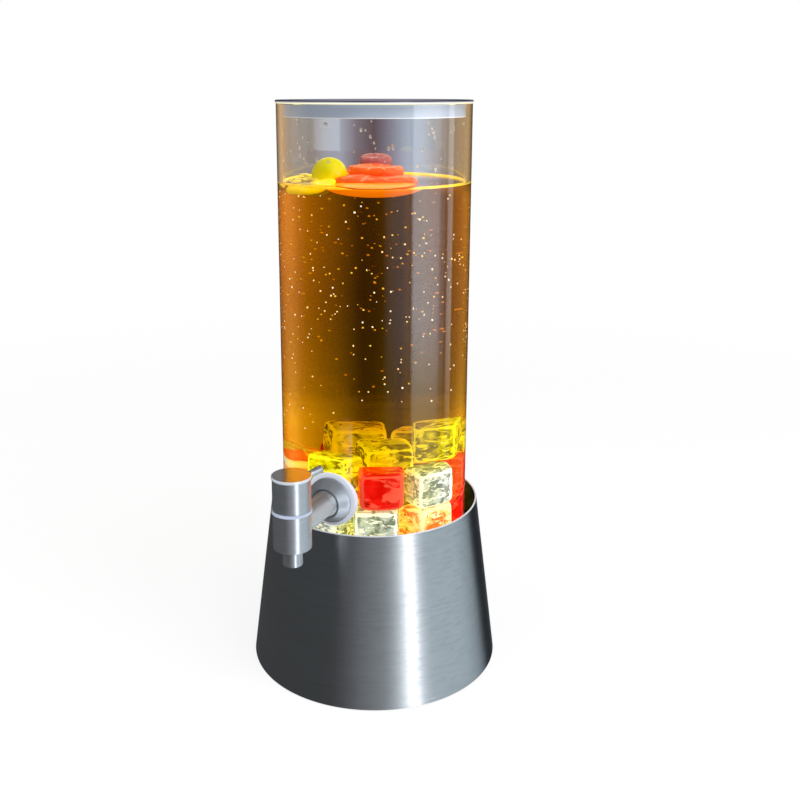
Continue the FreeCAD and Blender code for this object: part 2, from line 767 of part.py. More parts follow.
def ring_heights():
    """The sealing rings' heights, one on each side of the stop groove."""
    reach = STOP_DOG_R + 2 * STOP_GAP + RING_GROOVE / 2 + STOP_GAP
    return [stop_height() - reach, stop_height() + reach]


def tap_body():
    body = post(TAP_R, BODY_BOTTOM, TAP_TOP)
    body = rounded(body, BODY_ROUND, [BODY_BOTTOM])
    body = body.cut(post(CHAMBER_R, CHAMBER_Z, TAP_TOP + 1))
    body = body.cut(post(SPOUT_R + FIT_GAP, BODY_BOTTOM - 1, BODY_BOTTOM + SPOUT_SPIGOT))
    body = body.cut(post(SPOUT_BORE_R, BODY_BOTTOM, CHAMBER_Z + 1))
    body = on_tap(body)
    body = body.cut(on_shank(post(SHANK_R + FIT_GAP, FLANGE_FOOT, TAP_REACH)))
    return body.cut(radial_pin(STOP_R + FIT_GAP, CORE_R - 1, TAP_R + 1, STOP_ANGLE, stop_height()))


def tap_spout():
    pipe = ring(SPOUT_R, SPOUT_BORE_R, BODY_BOTTOM - SPOUT_LENGTH, BODY_BOTTOM + SPOUT_SPIGOT)
    return on_tap(rounded(pipe, BODY_ROUND, [BODY_BOTTOM - SPOUT_LENGTH]))


def tap_seal_ring():
    seal = ring(TAP_R + SEAL_PROUD, CHAMBER_R, TAP_TOP, TAP_TOP + SEAL)
    return on_tap(seal)


def stop_screw():
    body = radial_pin(STOP_R, CORE_R + 2 * CORE_CLEARANCE, TAP_R - STOP_GAP, STOP_ANGLE, stop_height())
    dog = radial_pin(STOP_DOG_R, CORE_R - STOP_DOG, CORE_R + 1, STOP_ANGLE, stop_height())
    return joined([body, dog])


# Tap: what turns with the knob

def core_sector(inner, half_height, start, sweep):
    """A band of the core's surface between two angles, at the stop screw's height."""
    low = stop_height() - half_height
    outer = CORE_R + 1
    band = Part.makeCylinder(outer, 2 * half_height, Vector(0, 0, low), Vector(0, 0, 1), sweep)
    band.rotate(Vector(0, 0, 0), Vector(0, 0, 1), start)
    return band.cut(post(inner, low - 1, low + 2 * half_height + 1))


def valve_core():
    core = post(CORE_R, CHAMBER_Z + CORE_CLEARANCE, CORE_TOP)
    core = core.cut(post(SPOUT_BORE_R, CHAMBER_Z - 1, SHANK_HEIGHT + PORT_R + PORT_ROOF))
    port = Part.makeCylinder(PORT_R, CORE_R + 1, Vector(0, 0, SHANK_HEIGHT), Vector(-1, 0, 0))
    core = core.cut(port)
    for height in ring_heights():
        floor = CORE_R - 2 * RING_WIRE_R
        core = core.cut(ring(CORE_R + 1, floor, height - RING_GROOVE / 2, height + RING_GROOVE / 2))
    spare = math.degrees((STOP_DOG_R + STOP_GAP) / (CORE_R - STOP_DOG))
    sweep = VALVE_TURN + 2 * spare
    groove = core_sector(CORE_R - STOP_GROOVE, STOP_DOG_R + STOP_GAP, STOP_ANGLE - spare, sweep)
    core = on_tap(core.cut(groove))
    dimple_floor = CORE_R - STOP_DOG - FIT_GAP
    dimple = radial_pin(STOP_R + FIT_GAP, dimple_floor, CORE_R + 1, GRUB_ANGLE, KNOB_TOP_Z - GRUB_DROP)
    return core.cut(dimple)


def core_o_rings():
    """Two rubber rings in the core's grooves, a hair inside the chamber's wall."""
    middle = CORE_R - RING_WIRE_R
    return [on_tap(Part.makeTorus(middle, RING_WIRE_R - CORE_CLEARANCE / 2, Vector(0, 0, z)))
            for z in ring_heights()]


def lever_rod(radius, inner, outer):
    """A rod along the lever's axis, from inner to outer measured from the knob's wall."""
    tilt = math.radians(PIN_TILT)
    away = Vector(math.cos(tilt), 0, math.sin(tilt))
    wall = Vector(TAP_R, 0, KNOB_TOP_Z - PIN_DROP)
    start = wall.add(Vector(away).multiply(inner))
    return Part.makeCylinder(radius, outer - inner, start, away)


def on_lever(shape):
    return on_tap(place_out(shape, PIN_ANGLE))


def tap_knob():
    rim_r = TAP_R + KNOB_RIM_PROUD
    knob = turned([
        (0, KNOB_Z),
        (TAP_R, KNOB_Z),
        (TAP_R, KNOB_TOP_Z - KNOB_RIM - KNOB_RIM_PROUD),
        (rim_r, KNOB_TOP_Z - KNOB_RIM),
        (rim_r, KNOB_TOP_Z - KNOB_BEVEL),
        (rim_r - KNOB_BEVEL, KNOB_TOP_Z),
        (0, KNOB_TOP_Z),
    ])
    knob = knob.cut(post(CORE_R + FIT_GAP, KNOB_Z - 1, KNOB_TOP_Z - KNOB_TOP))
    knob = on_tap(knob).cut(on_lever(lever_rod(PIN_R + FIT_GAP, -PIN_ROOT, PIN_LENGTH)))
    return knob.cut(radial_pin(STOP_R + FIT_GAP, CORE_R - 1, TAP_R + 1, GRUB_ANGLE, KNOB_TOP_Z - GRUB_DROP))


def lever_pin():
    rod = lever_rod(PIN_R, FIT_GAP - PIN_ROOT, PIN_LENGTH)
    circles = [edge for edge in rod.Edges if edge.Curve.TypeId == "Part::GeomCircle"]
    tip = [edge for edge in circles if edge.Curve.Center.x > TAP_R]
    return on_lever(rod.makeFillet(PIN_ROUND, tip))


def knob_screw():
    return radial_pin(STOP_R, CORE_R - STOP_DOG, TAP_R - STOP_GAP, GRUB_ANGLE, KNOB_TOP_Z - GRUB_DROP)


PARTS = [
    base_shell, shell_tabs, frame_screws, foot_ring, base_frame, tube_seat_pad,
    base_cover, cover_screws, battery_tray, battery_contacts, batteries, battery_cap, lead_wires,
    light_housing, housing_screws, led_board, leds, light_lens,
    switch_bezel, switch_body, switch_button, switch_dome,
    tube, tube_floor, lid_plate, lid_plug,
    outer_gasket, inner_gasket, shank_washer, shank_nut, tap_shank, tap_flange, shank_collar,
    tap_body, tap_spout, tap_seal_ring, stop_screw,
    valve_core, core_o_rings, tap_knob, lever_pin, knob_screw,
]

os.makedirs("parts", exist_ok=True)
for make in PARTS:
    made = make()
    shape = Part.Compound(made) if isinstance(made, list) else made
    shape.exportStep(os.path.join("parts", make.__name__ + ".step"))
    volume = round(shape.Volume / 1000, 2)
    print(make.__name__, len(shape.Solids), "solids,", volume, "cm3, valid", shape.isValid())
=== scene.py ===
import json
import math
import random

import bmesh
import bpy
from mathutils import Euler, Matrix, Vector, noise

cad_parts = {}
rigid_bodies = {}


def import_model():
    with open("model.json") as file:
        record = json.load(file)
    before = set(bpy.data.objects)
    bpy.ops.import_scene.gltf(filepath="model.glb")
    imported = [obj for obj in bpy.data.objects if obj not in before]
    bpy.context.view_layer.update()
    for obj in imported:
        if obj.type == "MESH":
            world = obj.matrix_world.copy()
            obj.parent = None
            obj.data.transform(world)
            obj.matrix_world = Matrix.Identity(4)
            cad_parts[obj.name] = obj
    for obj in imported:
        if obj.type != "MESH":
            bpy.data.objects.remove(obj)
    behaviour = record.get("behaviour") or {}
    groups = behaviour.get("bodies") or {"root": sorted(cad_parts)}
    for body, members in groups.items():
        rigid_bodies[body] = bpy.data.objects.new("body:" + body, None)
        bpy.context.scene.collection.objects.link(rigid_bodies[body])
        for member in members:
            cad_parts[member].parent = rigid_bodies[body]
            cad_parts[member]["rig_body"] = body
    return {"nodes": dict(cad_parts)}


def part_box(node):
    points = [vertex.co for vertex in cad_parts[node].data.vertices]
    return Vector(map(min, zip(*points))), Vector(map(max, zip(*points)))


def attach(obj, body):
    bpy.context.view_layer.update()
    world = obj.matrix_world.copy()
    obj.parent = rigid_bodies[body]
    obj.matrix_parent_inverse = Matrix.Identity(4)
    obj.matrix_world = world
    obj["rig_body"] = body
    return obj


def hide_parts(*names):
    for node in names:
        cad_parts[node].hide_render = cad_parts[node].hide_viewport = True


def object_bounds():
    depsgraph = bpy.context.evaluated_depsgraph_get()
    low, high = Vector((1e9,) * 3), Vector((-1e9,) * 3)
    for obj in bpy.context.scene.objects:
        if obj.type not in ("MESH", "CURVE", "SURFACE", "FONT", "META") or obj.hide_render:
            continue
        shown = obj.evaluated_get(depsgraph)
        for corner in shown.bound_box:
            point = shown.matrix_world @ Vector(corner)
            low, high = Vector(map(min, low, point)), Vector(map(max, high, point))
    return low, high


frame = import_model()
cad_low, cad_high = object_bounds()

# The camera: 0.57 m from the tube, level with the lid and tipped down, with the tap on its left.
# The bounces let light through all the surfaces of the tube, the drink and what floats in it.
CAMERA_AWAY = 0.5726
CAMERA_HEIGHT = 0.3409
CAMERA_SIDE = math.radians(25.67)
CAMERA_TIP = math.radians(12.99)
CAMERA_LENS = 45.0
CAMERA_SHIFT = (0.0321, -0.1004)
CLEAR_BOUNCES = 20
OPEN_BOUNCES = 16
camera_data = bpy.data.cameras.new("camera")
camera_data.lens = CAMERA_LENS
camera_data.shift_x, camera_data.shift_y = CAMERA_SHIFT
camera = bpy.data.objects.new("camera", camera_data)
camera.location = (
    CAMERA_AWAY * math.sin(CAMERA_SIDE),
    -CAMERA_AWAY * math.cos(CAMERA_SIDE),
    CAMERA_HEIGHT,
)
camera.rotation_euler = (math.pi / 2 - CAMERA_TIP, 0, CAMERA_SIDE)
bpy.context.scene.collection.objects.link(camera)
bpy.context.scene.camera = camera
bpy.context.scene.view_settings.view_transform = "Standard"
bpy.context.scene.cycles.max_bounces = CLEAR_BOUNCES
bpy.context.scene.cycles.transmission_bounces = CLEAR_BOUNCES
bpy.context.scene.cycles.transparent_max_bounces = OPEN_BOUNCES


# The floor: a plain white table top. Near the tower it is a lit surface that takes its shadow, and
# further out it turns to the white of the background.
class Signal:
    """One output of a node. Sums on it add Math nodes."""

    def __init__(self, finish, socket):
        self.finish = finish
        self.socket = socket

    def math(self, operation, *values):
        """A Math node on the values, of which this signal is one."""
        sockets = dict(enumerate(values))
        return self.finish.node("ShaderNodeMath", {"operation": operation}, sockets)["Value"]

    def __add__(self, other):
        return self.math("ADD", self, other)

    def __sub__(self, other):
        return self.math("SUBTRACT", self, other)

    def __rsub__(self, other):
        return self.math("SUBTRACT", other, self)

    def __mul__(self, other):
        return self.math("MULTIPLY", self, other)

    def __truediv__(self, other):
        return self.math("DIVIDE", self, other)

    def __rtruediv__(self, other):
        return self.math("DIVIDE", other, self)

    __radd__ = __add__
    __rmul__ = __mul__


class Finish:
    """A material, or the world, and the nodes that make it."""

    def __init__(self, owner):
        self.owner = owner
        owner.use_nodes = True
        self.tree = owner.node_tree
        self.tree.nodes.clear()

    def node(self, kind, settings=None, sockets=None):
        """Adds a node, first with its settings and then with its sockets' values or links."""
        added = self.tree.nodes.new(kind)
        for name, value in (settings or {}).items():
            if name == "stops":
                self.set_stops(added.color_ramp, value)
            else:
                setattr(added, name, value)
        for name, value in (sockets or {}).items():
            socket = added.inputs[name] if isinstance(name, int) else self.open_socket(added, name)
            if isinstance(value, Signal):
                self.tree.links.new(value.socket, socket)
            else:
                socket.default_value = value
        return {output.name: Signal(self, output) for output in added.outputs if output.enabled}

    def open_socket(self, added, name):
        return next(socket for socket in added.inputs if socket.name == name and socket.enabled)

    def set_stops(self, ramp, stops):
        while len(ramp.elements) > 1:
            ramp.elements.remove(ramp.elements[-1])
        ramp.elements[0].position = stops[0][0]
        ramp.elements[0].color = (*stops[0][1], 1)
        for place, colour in stops[1:]:
            ramp.elements.new(place).color = (*colour, 1)

    def object_place(self):
        return self.node("ShaderNodeTexCoord")["Object"]

    def object_height(self):
        return self.node("ShaderNodeSeparateXYZ", {}, {"Vector": self.object_place()})["Z"]

    def noise(self, scale, detail=2.0, vector=None, distortion=0.0):
        sockets = {"Scale": scale, "Detail": detail, "Distortion": distortion}
        sockets["Vector"] = vector or self.object_place()
        return self.node("ShaderNodeTexNoise", {}, sockets)["Fac"]

    def drawn_noise(self, across, upright, detail=2.0, distortion=0.0):
        """Noise of one scale along X and Y and another along Z, so that it looks drawn out."""
        sockets = {"Vector": self.object_place(), "Scale": (across, across, upright)}
        stretched = self.node("ShaderNodeMapping", {}, sockets)["Vector"]
        return self.noise(1.0, detail, stretched, distortion)

    def ramp(self, factor, stops):
        return self.node("ShaderNodeValToRGB", {"stops": stops}, {"Fac": factor})["Color"]

    def step(self, value, start, end, low=0.0, high=1.0):
        """A smooth step from low at start to high at end."""
        sockets = {"Value": value, "From Min": start, "From Max": end}
        sockets |= {"To Min": low, "To Max": high}
        settings = {"interpolation_type": "SMOOTHSTEP"}
        return self.node("ShaderNodeMapRange", settings, sockets)["Result"]

    def mix(self, factor, first, second, blend="MIX"):
        """Two colours mixed."""
        sockets = {"Factor": factor, "A": first, "B": second}
        settings = {"data_type": "RGBA", "blend_type": blend}
        return self.node("ShaderNodeMix", settings, sockets)["Result"]

    def bump(self, height, distance, strength=1.0):
        sockets = {"Height": height, "Distance": distance, "Strength": strength}
        return self.node("ShaderNodeBump", {}, sockets)["Normal"]

    def surface(self, **sockets):
        """The Principled shader. A socket's name has underscores for its spaces."""
        named = {name.replace("_", " "): value for name, value in sockets.items()}
        return self.node("ShaderNodeBsdfPrincipled", {}, named)["BSDF"]

    def glowing(self, colour, strength, **sockets):
        """The Principled shader of stuff lit from inside, which glows in its own colour."""
        return self.surface(
            Base_Color=colour, Emission_Color=colour, Emission_Strength=strength, **sockets
        )

    def mix_shaders(self, factor, first, second):
        return self.node("ShaderNodeMixShader", {}, {"Fac": factor, 1: first, 2: second})["Shader"]

    def lets_lamps_through(self, shader, tint):
        """Clear stuff: a lamp's light goes straight through, tinted, and reaches what is inside."""
        lamp_ray = self.node("ShaderNodeLightPath")["Is Shadow Ray"]
        open_way = self.node("ShaderNodeBsdfTransparent", {}, {"Color": (*tint, 1)})["BSDF"]
        return self.mix_shaders(lamp_ray, shader, open_way)

    def shade(self, shader, volume=None):
        """Ends the material with its shader, and returns it."""
        sockets = {"Surface": shader}
        if volume is not None:
            sockets["Volume"] = volume
        self.node("ShaderNodeOutputMaterial", {}, sockets)
        return self.owner


FLOOR_R = 4.0
FLOOR_SIDES = 96
FLOOR_COLOUR = (0.88, 0.88, 0.88, 1)
SHADOW_SOFTENED = 0.84
WHITE_FROM = 0.25
WHITE_BY = 1.1
floor_shape = bmesh.new()
bmesh.ops.create_circle(floor_shape, cap_ends=True, segments=FLOOR_SIDES, radius=FLOOR_R)
floor_mesh = bpy.data.meshes.new("floor")
floor_shape.to_mesh(floor_mesh)
floor_shape.free()
floor = bpy.data.objects.new("floor", floor_mesh)
floor.visible_glossy = False
floor.visible_transmission = False
bpy.context.scene.collection.objects.link(floor)
floor_finish = Finish(bpy.data.materials.new("floor_white"))
away = floor_finish.node(
    "ShaderNodeVectorMath", {"operation": "LENGTH"}, {"Vector": floor_finish.object_place()}
)["Value"]
seen = floor_finish.node("ShaderNodeLightPath")["Is Camera Ray"]
whiteness = floor_finish.step(away, WHITE_FROM, WHITE_BY, SHADOW_SOFTENED, 1.0) * seen
lit = floor_finish.node("ShaderNodeBsdfDiffuse", {}, {"Color": FLOOR_COLOUR})["BSDF"]
white = floor_finish.node("ShaderNodeEmission", {}, {"Strength": 1.0})["Emission"]
floor_mesh.materials.append(floor_finish.shade(floor_finish.mix_shaders(whiteness, lit, white)))

# The room round the tower: white to the camera, even and soft to matt pieces, and to steel and
# glass a dim room with one tall window on the right, a narrow one on the left and one behind. The
# lists give the light at turns in degrees, and DOWN_THE_DRINK at tilts, where 0 is level.
LOOK = math.degrees(CAMERA_SIDE)
BRIGHTEST = 3.0
SOFT_LIGHT = 0.55
MIRRORED_ROOM = [
    (-178, (0.10, 0.11, 0.12)),
    (-168, (0.50, 0.53, 0.56)),
    (-160, (1.30, 1.35, 1.40)),
    (-152, (0.50, 0.53, 0.56)),
    (-146, (0.07, 0.07, 0.07)),
    (-90, (0.062, 0.066, 0.070)),
    (-24, (0.058, 0.063, 0.066)),
    (-13, (0.062, 0.066, 0.070)),
    (-7, (0.085, 0.087, 0.093)),
    (2, (0.12, 0.125, 0.135)),
    (14, (0.20, 0.21, 0.23)),
    (35, (0.30, 0.33, 0.35)),
    (44, (0.47, 0.52, 0.56)),
    (50, (0.72, 0.80, 0.86)),
    (56, (1.35, 1.45, 1.55)),
    (60, (2.75, 2.85, 2.95)),
    (65, (2.40, 2.45, 2.50)),
    (70, (0.95, 1.05, 1.15)),
    (78, (0.60, 0.69, 0.75)),
    (90, (0.55, 0.65, 0.70)),
    (118, (0.53, 0.63, 0.68)),
    (128, (0.46, 0.55, 0.60)),
    (137, (0.40, 0.47, 0.52)),
    (143, (0.34, 0.40, 0.44)),
    (147, (0.10, 0.12, 0.13)),
    (153, (0.02, 0.025, 0.03)),
    (172, (0.03, 0.035, 0.04)),
]
IN_GLASS = [
    (-178, (0.02, 0.02, 0.02)),
    (-160, (0.02, 0.02, 0.02)),
    (-157, (0.30, 0.28, 0.36)),
    (-151, (0.30, 0.28, 0.36)),
    (-148, (0.02, 0.02, 0.02)),
    (-70, (0.12, 0.12, 0.13)),
    (-62, (0.02, 0.02, 0.02)),
    (-50, (0.01, 0.01, 0.01)),
    (36, (0.01, 0.01, 0.01)),
    (43, (0.22, 0.25, 0.28)),
    (55, (0.45, 0.48, 0.52)),
    (67, (0.62, 0.62, 0.62)),
    (70, (0.25, 0.25, 0.25)),
    (73, (2.45, 2.70, 2.95)),
    (86, (2.75, 2.85, 3.00)),
    (102, (2.40, 2.35, 2.50)),
    (115, (1.75, 1.60, 1.68)),
    (117.5, (0.80, 0.65, 0.70)),
    (120, (0.80, 0.65, 0.70)),
    (122, (3.00, 2.90, 2.90)),
    (129, (3.00, 2.95, 2.95)),
    (131.5, (0.15, 0.10, 0.05)),
    (170, (0.05, 0.04, 0.03)),
]
GLASS_GAIN = 0.85
BEHIND_AIR = [
    (-170, (0.42, 0.46, 0.53)),
    (-90, (0.52, 0.46, 0.42)),
    (-36, (0.60, 0.40, 0.18)),
    (-20, (0.42, 0.25, 0.10)),
    (-9, (0.24, 0.18, 0.12)),
    (-6.5, (0.22, 0.19, 0.15)),
    (-5.4, (0.26, 0.26, 0.28)),
    (-4.9, (0.24, 0.26, 0.30)),
    (-4.5, (0.34, 0.38, 0.44)),
    (-3.6, (0.36, 0.41, 0.50)),
    (-2.4, (0.42, 0.48, 0.58)),
    (-1.7, (0.33, 0.34, 0.43)),
    (-1.2, (0.19, 0.17, 0.22)),
    (0, (0.14, 0.095, 0.105)),
    (1.2, (0.17, 0.125, 0.14)),
    (1.7, (0.25, 0.215, 0.25)),
    (2.4, (0.38, 0.39, 0.46)),
    (3.5, (0.39, 0.43, 0.50)),
    (4.0, (0.37, 0.39, 0.44)),
    (4.6, (0.35, 0.35, 0.38)),
    (5.6, (0.31, 0.28, 0.25)),
    (13, (0.29, 0.24, 0.20)),
    (22, (0.62, 0.38, 0.18)),
    (36, (0.80, 0.50, 0.24)),
    (90, (0.52, 0.46, 0.42)),
    (170, (0.42, 0.46, 0.53)),
]
BEHIND_DRINK = [
    (-170, (0.02, 0.02, 0.01)),
    (-78, (0.04, 0.03, 0.01)),
    (-62, (1.50, 0.80, 0.20)),
    (-45, (1.50, 0.80, 0.25)),
    (-34, (1.21, 0.70, 0.25)),
    (-22, (0.83, 0.57, 0.25)),
    (-16, (0.61, 0.445, 0.25)),
    (-11, (0.445, 0.36, 0.20)),
    (-6.5, (0.25, 0.215, 0.15)),
    (-3.5, (0.12, 0.10, 0.10)),
    (0, (0.125, 0.11, 0.08)),
    (3.5, (0.19, 0.19, 0.12)),
    (7, (0.13, 0.10, 0.08)),
    (10, (0.25, 0.20, 0.12)),
    (14, (0.28, 0.23, 0.12)),
    (22, (0.27, 0.21, 0.12)),
    (30, (0.42, 0.26, 0.12)),
    (36, (0.52, 0.24, 0.12)),
    (48, (1.10, 0.70, 0.30)),
    (62, (1.10, 0.70, 0.20)),
    (78, (0.04, 0.03, 0.01)),
    (170, (0.02, 0.02, 0.01)),
]
DOWN_THE_DRINK = [
    (-30, (1.50, 2.10, 1.0)),
    (-18.6, (1.45, 2.00, 1.0)),
    (-17, (0.95, 1.22, 1.0)),
    (-14.3, (0.82, 0.95, 1.0)),
    (-11.5, (0.80, 0.83, 1.0)),
    (-9, (0.95, 0.96, 1.0)),
    (-7, (1.0, 1.0, 1.0)),
]
DOWN_SPAN = 30
DOWN_SCALE = 3.0
AIR_STOPS = (-5.4, -5.9)
LOW_TILTS = (-12, -20)
LOW_COLOUR = (0.45, 0.40, 0.22, 1)
ABOVE_TILTS = ((5, 9), (34, 24))
ABOVE_TURNS = ((0.31, 0.36), (0.57, 0.54))
ABOVE_COLOUR = (1.0, 0.74, 0.42, 1)
OVERHEAD_TILTS = (25, 60)
OVERHEAD_COLOUR = (0.05, 0.052, 0.054, 1)
TO_CAMERA_BLEND = 0.12
WHITE = (1, 1, 1, 1)


def room_ramp(stops, span=180, brightest=BRIGHTEST):
    """The stops of a ramp across the room, from angles in degrees out to span on either side."""
    return [
        ((angle + span) / (2 * span), [part / brightest for part in colour])
        for angle, colour in stops
    ]


world = bpy.data.worlds.new("room")
bpy.context.scene.world = world
world.cycles.sampling_method = "NONE"
room = Finish(world)
direction = room.node(
    "ShaderNodeSeparateXYZ", {}, {"Vector": room.node("ShaderNodeTexCoord")["Generated"]}
)
turn = direction["X"].math("ARCTAN2", direction["X"], direction["Y"] * -1) / math.tau
tilt = direction["Z"].math("ARCSINE", direction["Z"])
turn_behind = turn + 1 - LOOK / 360
turn_behind = turn_behind.math("FRACT", turn_behind)


def tilted(start, end):
    """A smooth step up or down the room, from 0 at start to 1 at end, both in degrees."""
    return room.step(tilt, math.radians(start), math.radians(end))


def background(colour, strength):
    """The world's light in one colour."""
    sockets = {"Color": colour, "Strength": strength}
    return room.node("ShaderNodeBackground", {}, sockets)["Background"]


down = room.ramp(
    tilt / math.radians(2 * DOWN_SPAN) + 0.5, room_ramp(DOWN_THE_DRINK, DOWN_SPAN, DOWN_SCALE)
)
down = room.mix(1.0, down, (DOWN_SCALE, DOWN_SCALE, DOWN_SCALE, 1), "MULTIPLY")
behind_drink = room.mix(1.0, room.ramp(turn_behind, room_ramp(BEHIND_DRINK)), down, "MULTIPLY")
behind_air = room.ramp(turn_behind, room_ramp(BEHIND_AIR))
through = room.mix(tilted(*AIR_STOPS), behind_air, behind_drink)
above = tilted(*ABOVE_TILTS[0]) * tilted(*ABOVE_TILTS[1])
for limits in ABOVE_TURNS:
    above = above * room.step(turn_behind, *limits)
through = room.mix(above, through, ABOVE_COLOUR)
mirrored = room.ramp(turn + 0.5, room_ramp(MIRRORED_ROOM))
mirrored = room.mix(tilted(*OVERHEAD_TILTS), mirrored, OVERHEAD_COLOUR)
in_glass = room.ramp(turn + 0.5, room_ramp(IN_GLASS, brightest=BRIGHTEST / GLASS_GAIN))
in_glass_low = room.mix(1.0, in_glass, LOW_COLOUR, "MULTIPLY")
in_glass = room.mix(tilted(*LOW_TILTS), in_glass, in_glass_low)
ray = room.node("ShaderNodeLightPath")
mirrored = room.mix(ray["Is Singular Ray"], mirrored, in_glass)
to_camera = direction["X"] * math.sin(CAMERA_SIDE) - direction["Y"] * math.cos(CAMERA_SIDE)
through = room.mix(room.step(to_camera, 0.0, TO_CAMERA_BLEND), through, in_glass)
through_ray = ray["Is Transmission Ray"]
clear_colour = room.mix(through_ray, mirrored, through)
clear_ray = through_ray.math("MAXIMUM", through_ray, ray["Is Glossy Ray"])
lit_room = room.mix_shaders(
    clear_ray, background(WHITE, SOFT_LIGHT), background(clear_colour, BRIGHTEST)
)
seen_room = room.mix_shaders(ray["Is Camera Ray"], lit_room, background(WHITE, 1.0))
room.node("ShaderNodeOutputWorld", {}, {"Surface": seen_room})

# The lamps: two big soft boxes, the stronger one at the front right, seen by no steel or glass.
# A row gives the name, the turn from the front and the rise in degrees, the size and the watts.
LAMP_AWAY = 1.3
LAMPS = (("key", 70, 45, 0.9, 17), ("fill", -40, 35, 1.2, 7))
for lamp_name, lamp_turn, lamp_tilt, lamp_size, lamp_watts in LAMPS:
    lamp_data = bpy.data.lights.new(lamp_name, "AREA")
    lamp_data.size = lamp_size
    lamp_data.energy = lamp_watts
    lamp = bpy.data.objects.new(lamp_name, lamp_data)
    side = math.radians(lamp_turn)
    rise = math.radians(lamp_tilt)
    back = Vector(
        (math.sin(side) * math.cos(rise), -math.cos(side) * math.cos(rise), math.sin(rise))
    )
    lamp.location = back * LAMP_AWAY + Vector((0, 0, cad_high.z / 2))
    lamp.rotation_euler = back.to_track_quat("Z", "Y").to_euler()
    lamp.visible_glossy = False
    lamp.visible_transmission = False
    bpy.context.scene.collection.objects.link(lamp)

# Base shell: a tapered cone of 1 mm stainless sheet, rolled and seamed, brushed round and round,
# with its rim turned over. The frame hangs in it on welded tabs.
MM = 0.001
UP = Vector((0, 0, 1))
ROUND_STEPS = 192
SPUN_GAP = 0.002 * MM
SHARP_EDGE = 32
SHELL_WALL = 1.0 * MM
SHELL_RIM_R = 62.1 * MM
SHELL_RIM_ROUND = 0.4 * MM
SHELL_LIP = 0.3 * SHELL_RIM_ROUND
LINES_ACROSS = 22
BANDS_ACROSS = 8
LINES_IN_BAND = 6
STREAKS_ACROSS = 110
LINES_IN_STREAK = 2
STREAK_EDGE = (0.45, 0.68)
WAVES = (9, 20)
CLOUD_SCALE = 28.0
SCRATCHES = (60, 900)
SCRATCH_EDGE = (0.70, 0.78)
SCRATCH_COLOUR = (0.9, 0.9, 0.92, 1)
SCRATCH_SHOWS = 0.6
STEEL_DARKER = 0.82
STEEL_PALER = 1.2
SHELL_BRUSHING = (1400, 0.02 * MM)
INNER_SHADE_BRUSHING = (900, 0.03 * MM)
FINE_BRUSHING = (3000, 0.01 * MM)
BRUSHING_SHOWS = 0.5
SHEET_WAVE = 1.2 * MM


def finished(name, shape, body, finish, sharp=SHARP_EDGE):
    """The object of a shape: smooth but for edges past an angle, riding on its body."""
    for face in shape.faces:
        face.smooth = True
    for edge in shape.edges:
        edge.smooth = edge.calc_face_angle(0) < math.radians(sharp)
    mesh = bpy.data.meshes.new(name)
    shape.to_mesh(mesh)
    shape.free()
    mesh.materials.append(finish)
    piece = bpy.data.objects.new(name, mesh)
    bpy.context.scene.collection.objects.link(piece)
    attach(piece, body)
    return piece


def turned(name, outline, body, finish):
    """A piece turned on the tower's axis from its outline, a closed row of points (out, up)."""
    shape = bmesh.new()
    out = UP.orthogonal().normalized()
    corners = [shape.verts.new(out * away + UP * height) for away, height in outline]
    for first, second in zip(corners, corners[1:] + corners[:1]):
        shape.edges.new((first, second))
    bmesh.ops.spin(
        shape,
        geom=shape.verts[:] + shape.edges[:],
        cent=(0, 0, 0),
        axis=UP,
        angle=math.tau,
        steps=ROUND_STEPS,
        use_merge=True,
    )
    bmesh.ops.remove_doubles(shape, verts=shape.verts, dist=SPUN_GAP)
    bmesh.ops.recalc_face_normals(shape, faces=shape.faces)
    return finished(name, shape, body, finish)


def darker_and_paler(colour, darker, paler, lift=0.0):
    """A colour times two factors, the second with a lift, as colours for a mix."""
    return (
        (*(part * darker for part in colour), 1),
        (*(min(1.0, part * paler + lift) for part in colour), 1),
    )


def brushed_steel(name, colour, roughness, brushing, metallic=1.0, sheet_wave=0.0):
    """Steel brushed round the Z axis: fine level lines, and glints drawn out up and down.

    The brushing is how many lines there are to a metre and how deep they are.
    """
    line_density, line_depth = brushing
    steel = Finish(bpy.data.materials.new(name))
    lines = steel.drawn_noise(LINES_ACROSS, line_density, detail=3.0)
    bands = steel.drawn_noise(BANDS_ACROSS, line_density / LINES_IN_BAND)
    clouds = steel.noise(CLOUD_SCALE, detail=3.0)
    waves = steel.drawn_noise(*WAVES, detail=1.0)
    streak_noise = steel.drawn_noise(STREAKS_ACROSS, line_density / LINES_IN_STREAK, detail=3.0)
    streaks = steel.step(streak_noise, *STREAK_EDGE)
    scratches = steel.step(steel.drawn_noise(*SCRATCHES), *SCRATCH_EDGE)
    darker, paler = darker_and_paler(colour, STEEL_DARKER, STEEL_PALER)
    shade = steel.mix(0.5 * lines + 0.3 * bands + 0.2 * clouds, darker, paler)
    shader = steel.surface(
        Base_Color=steel.mix(SCRATCH_SHOWS * scratches, shade, SCRATCH_COLOUR),
        Metallic=metallic,
        Roughness=roughness - 0.10 + 0.08 * lines + 0.05 * bands + 0.07 * streaks,
        Anisotropic=1.0,
        Anisotropic_Rotation=0.25,
        Normal=steel.bump(lines + waves * (sheet_wave / line_depth), line_depth, BRUSHING_SHOWS),
    )
    return steel.shade(shader)


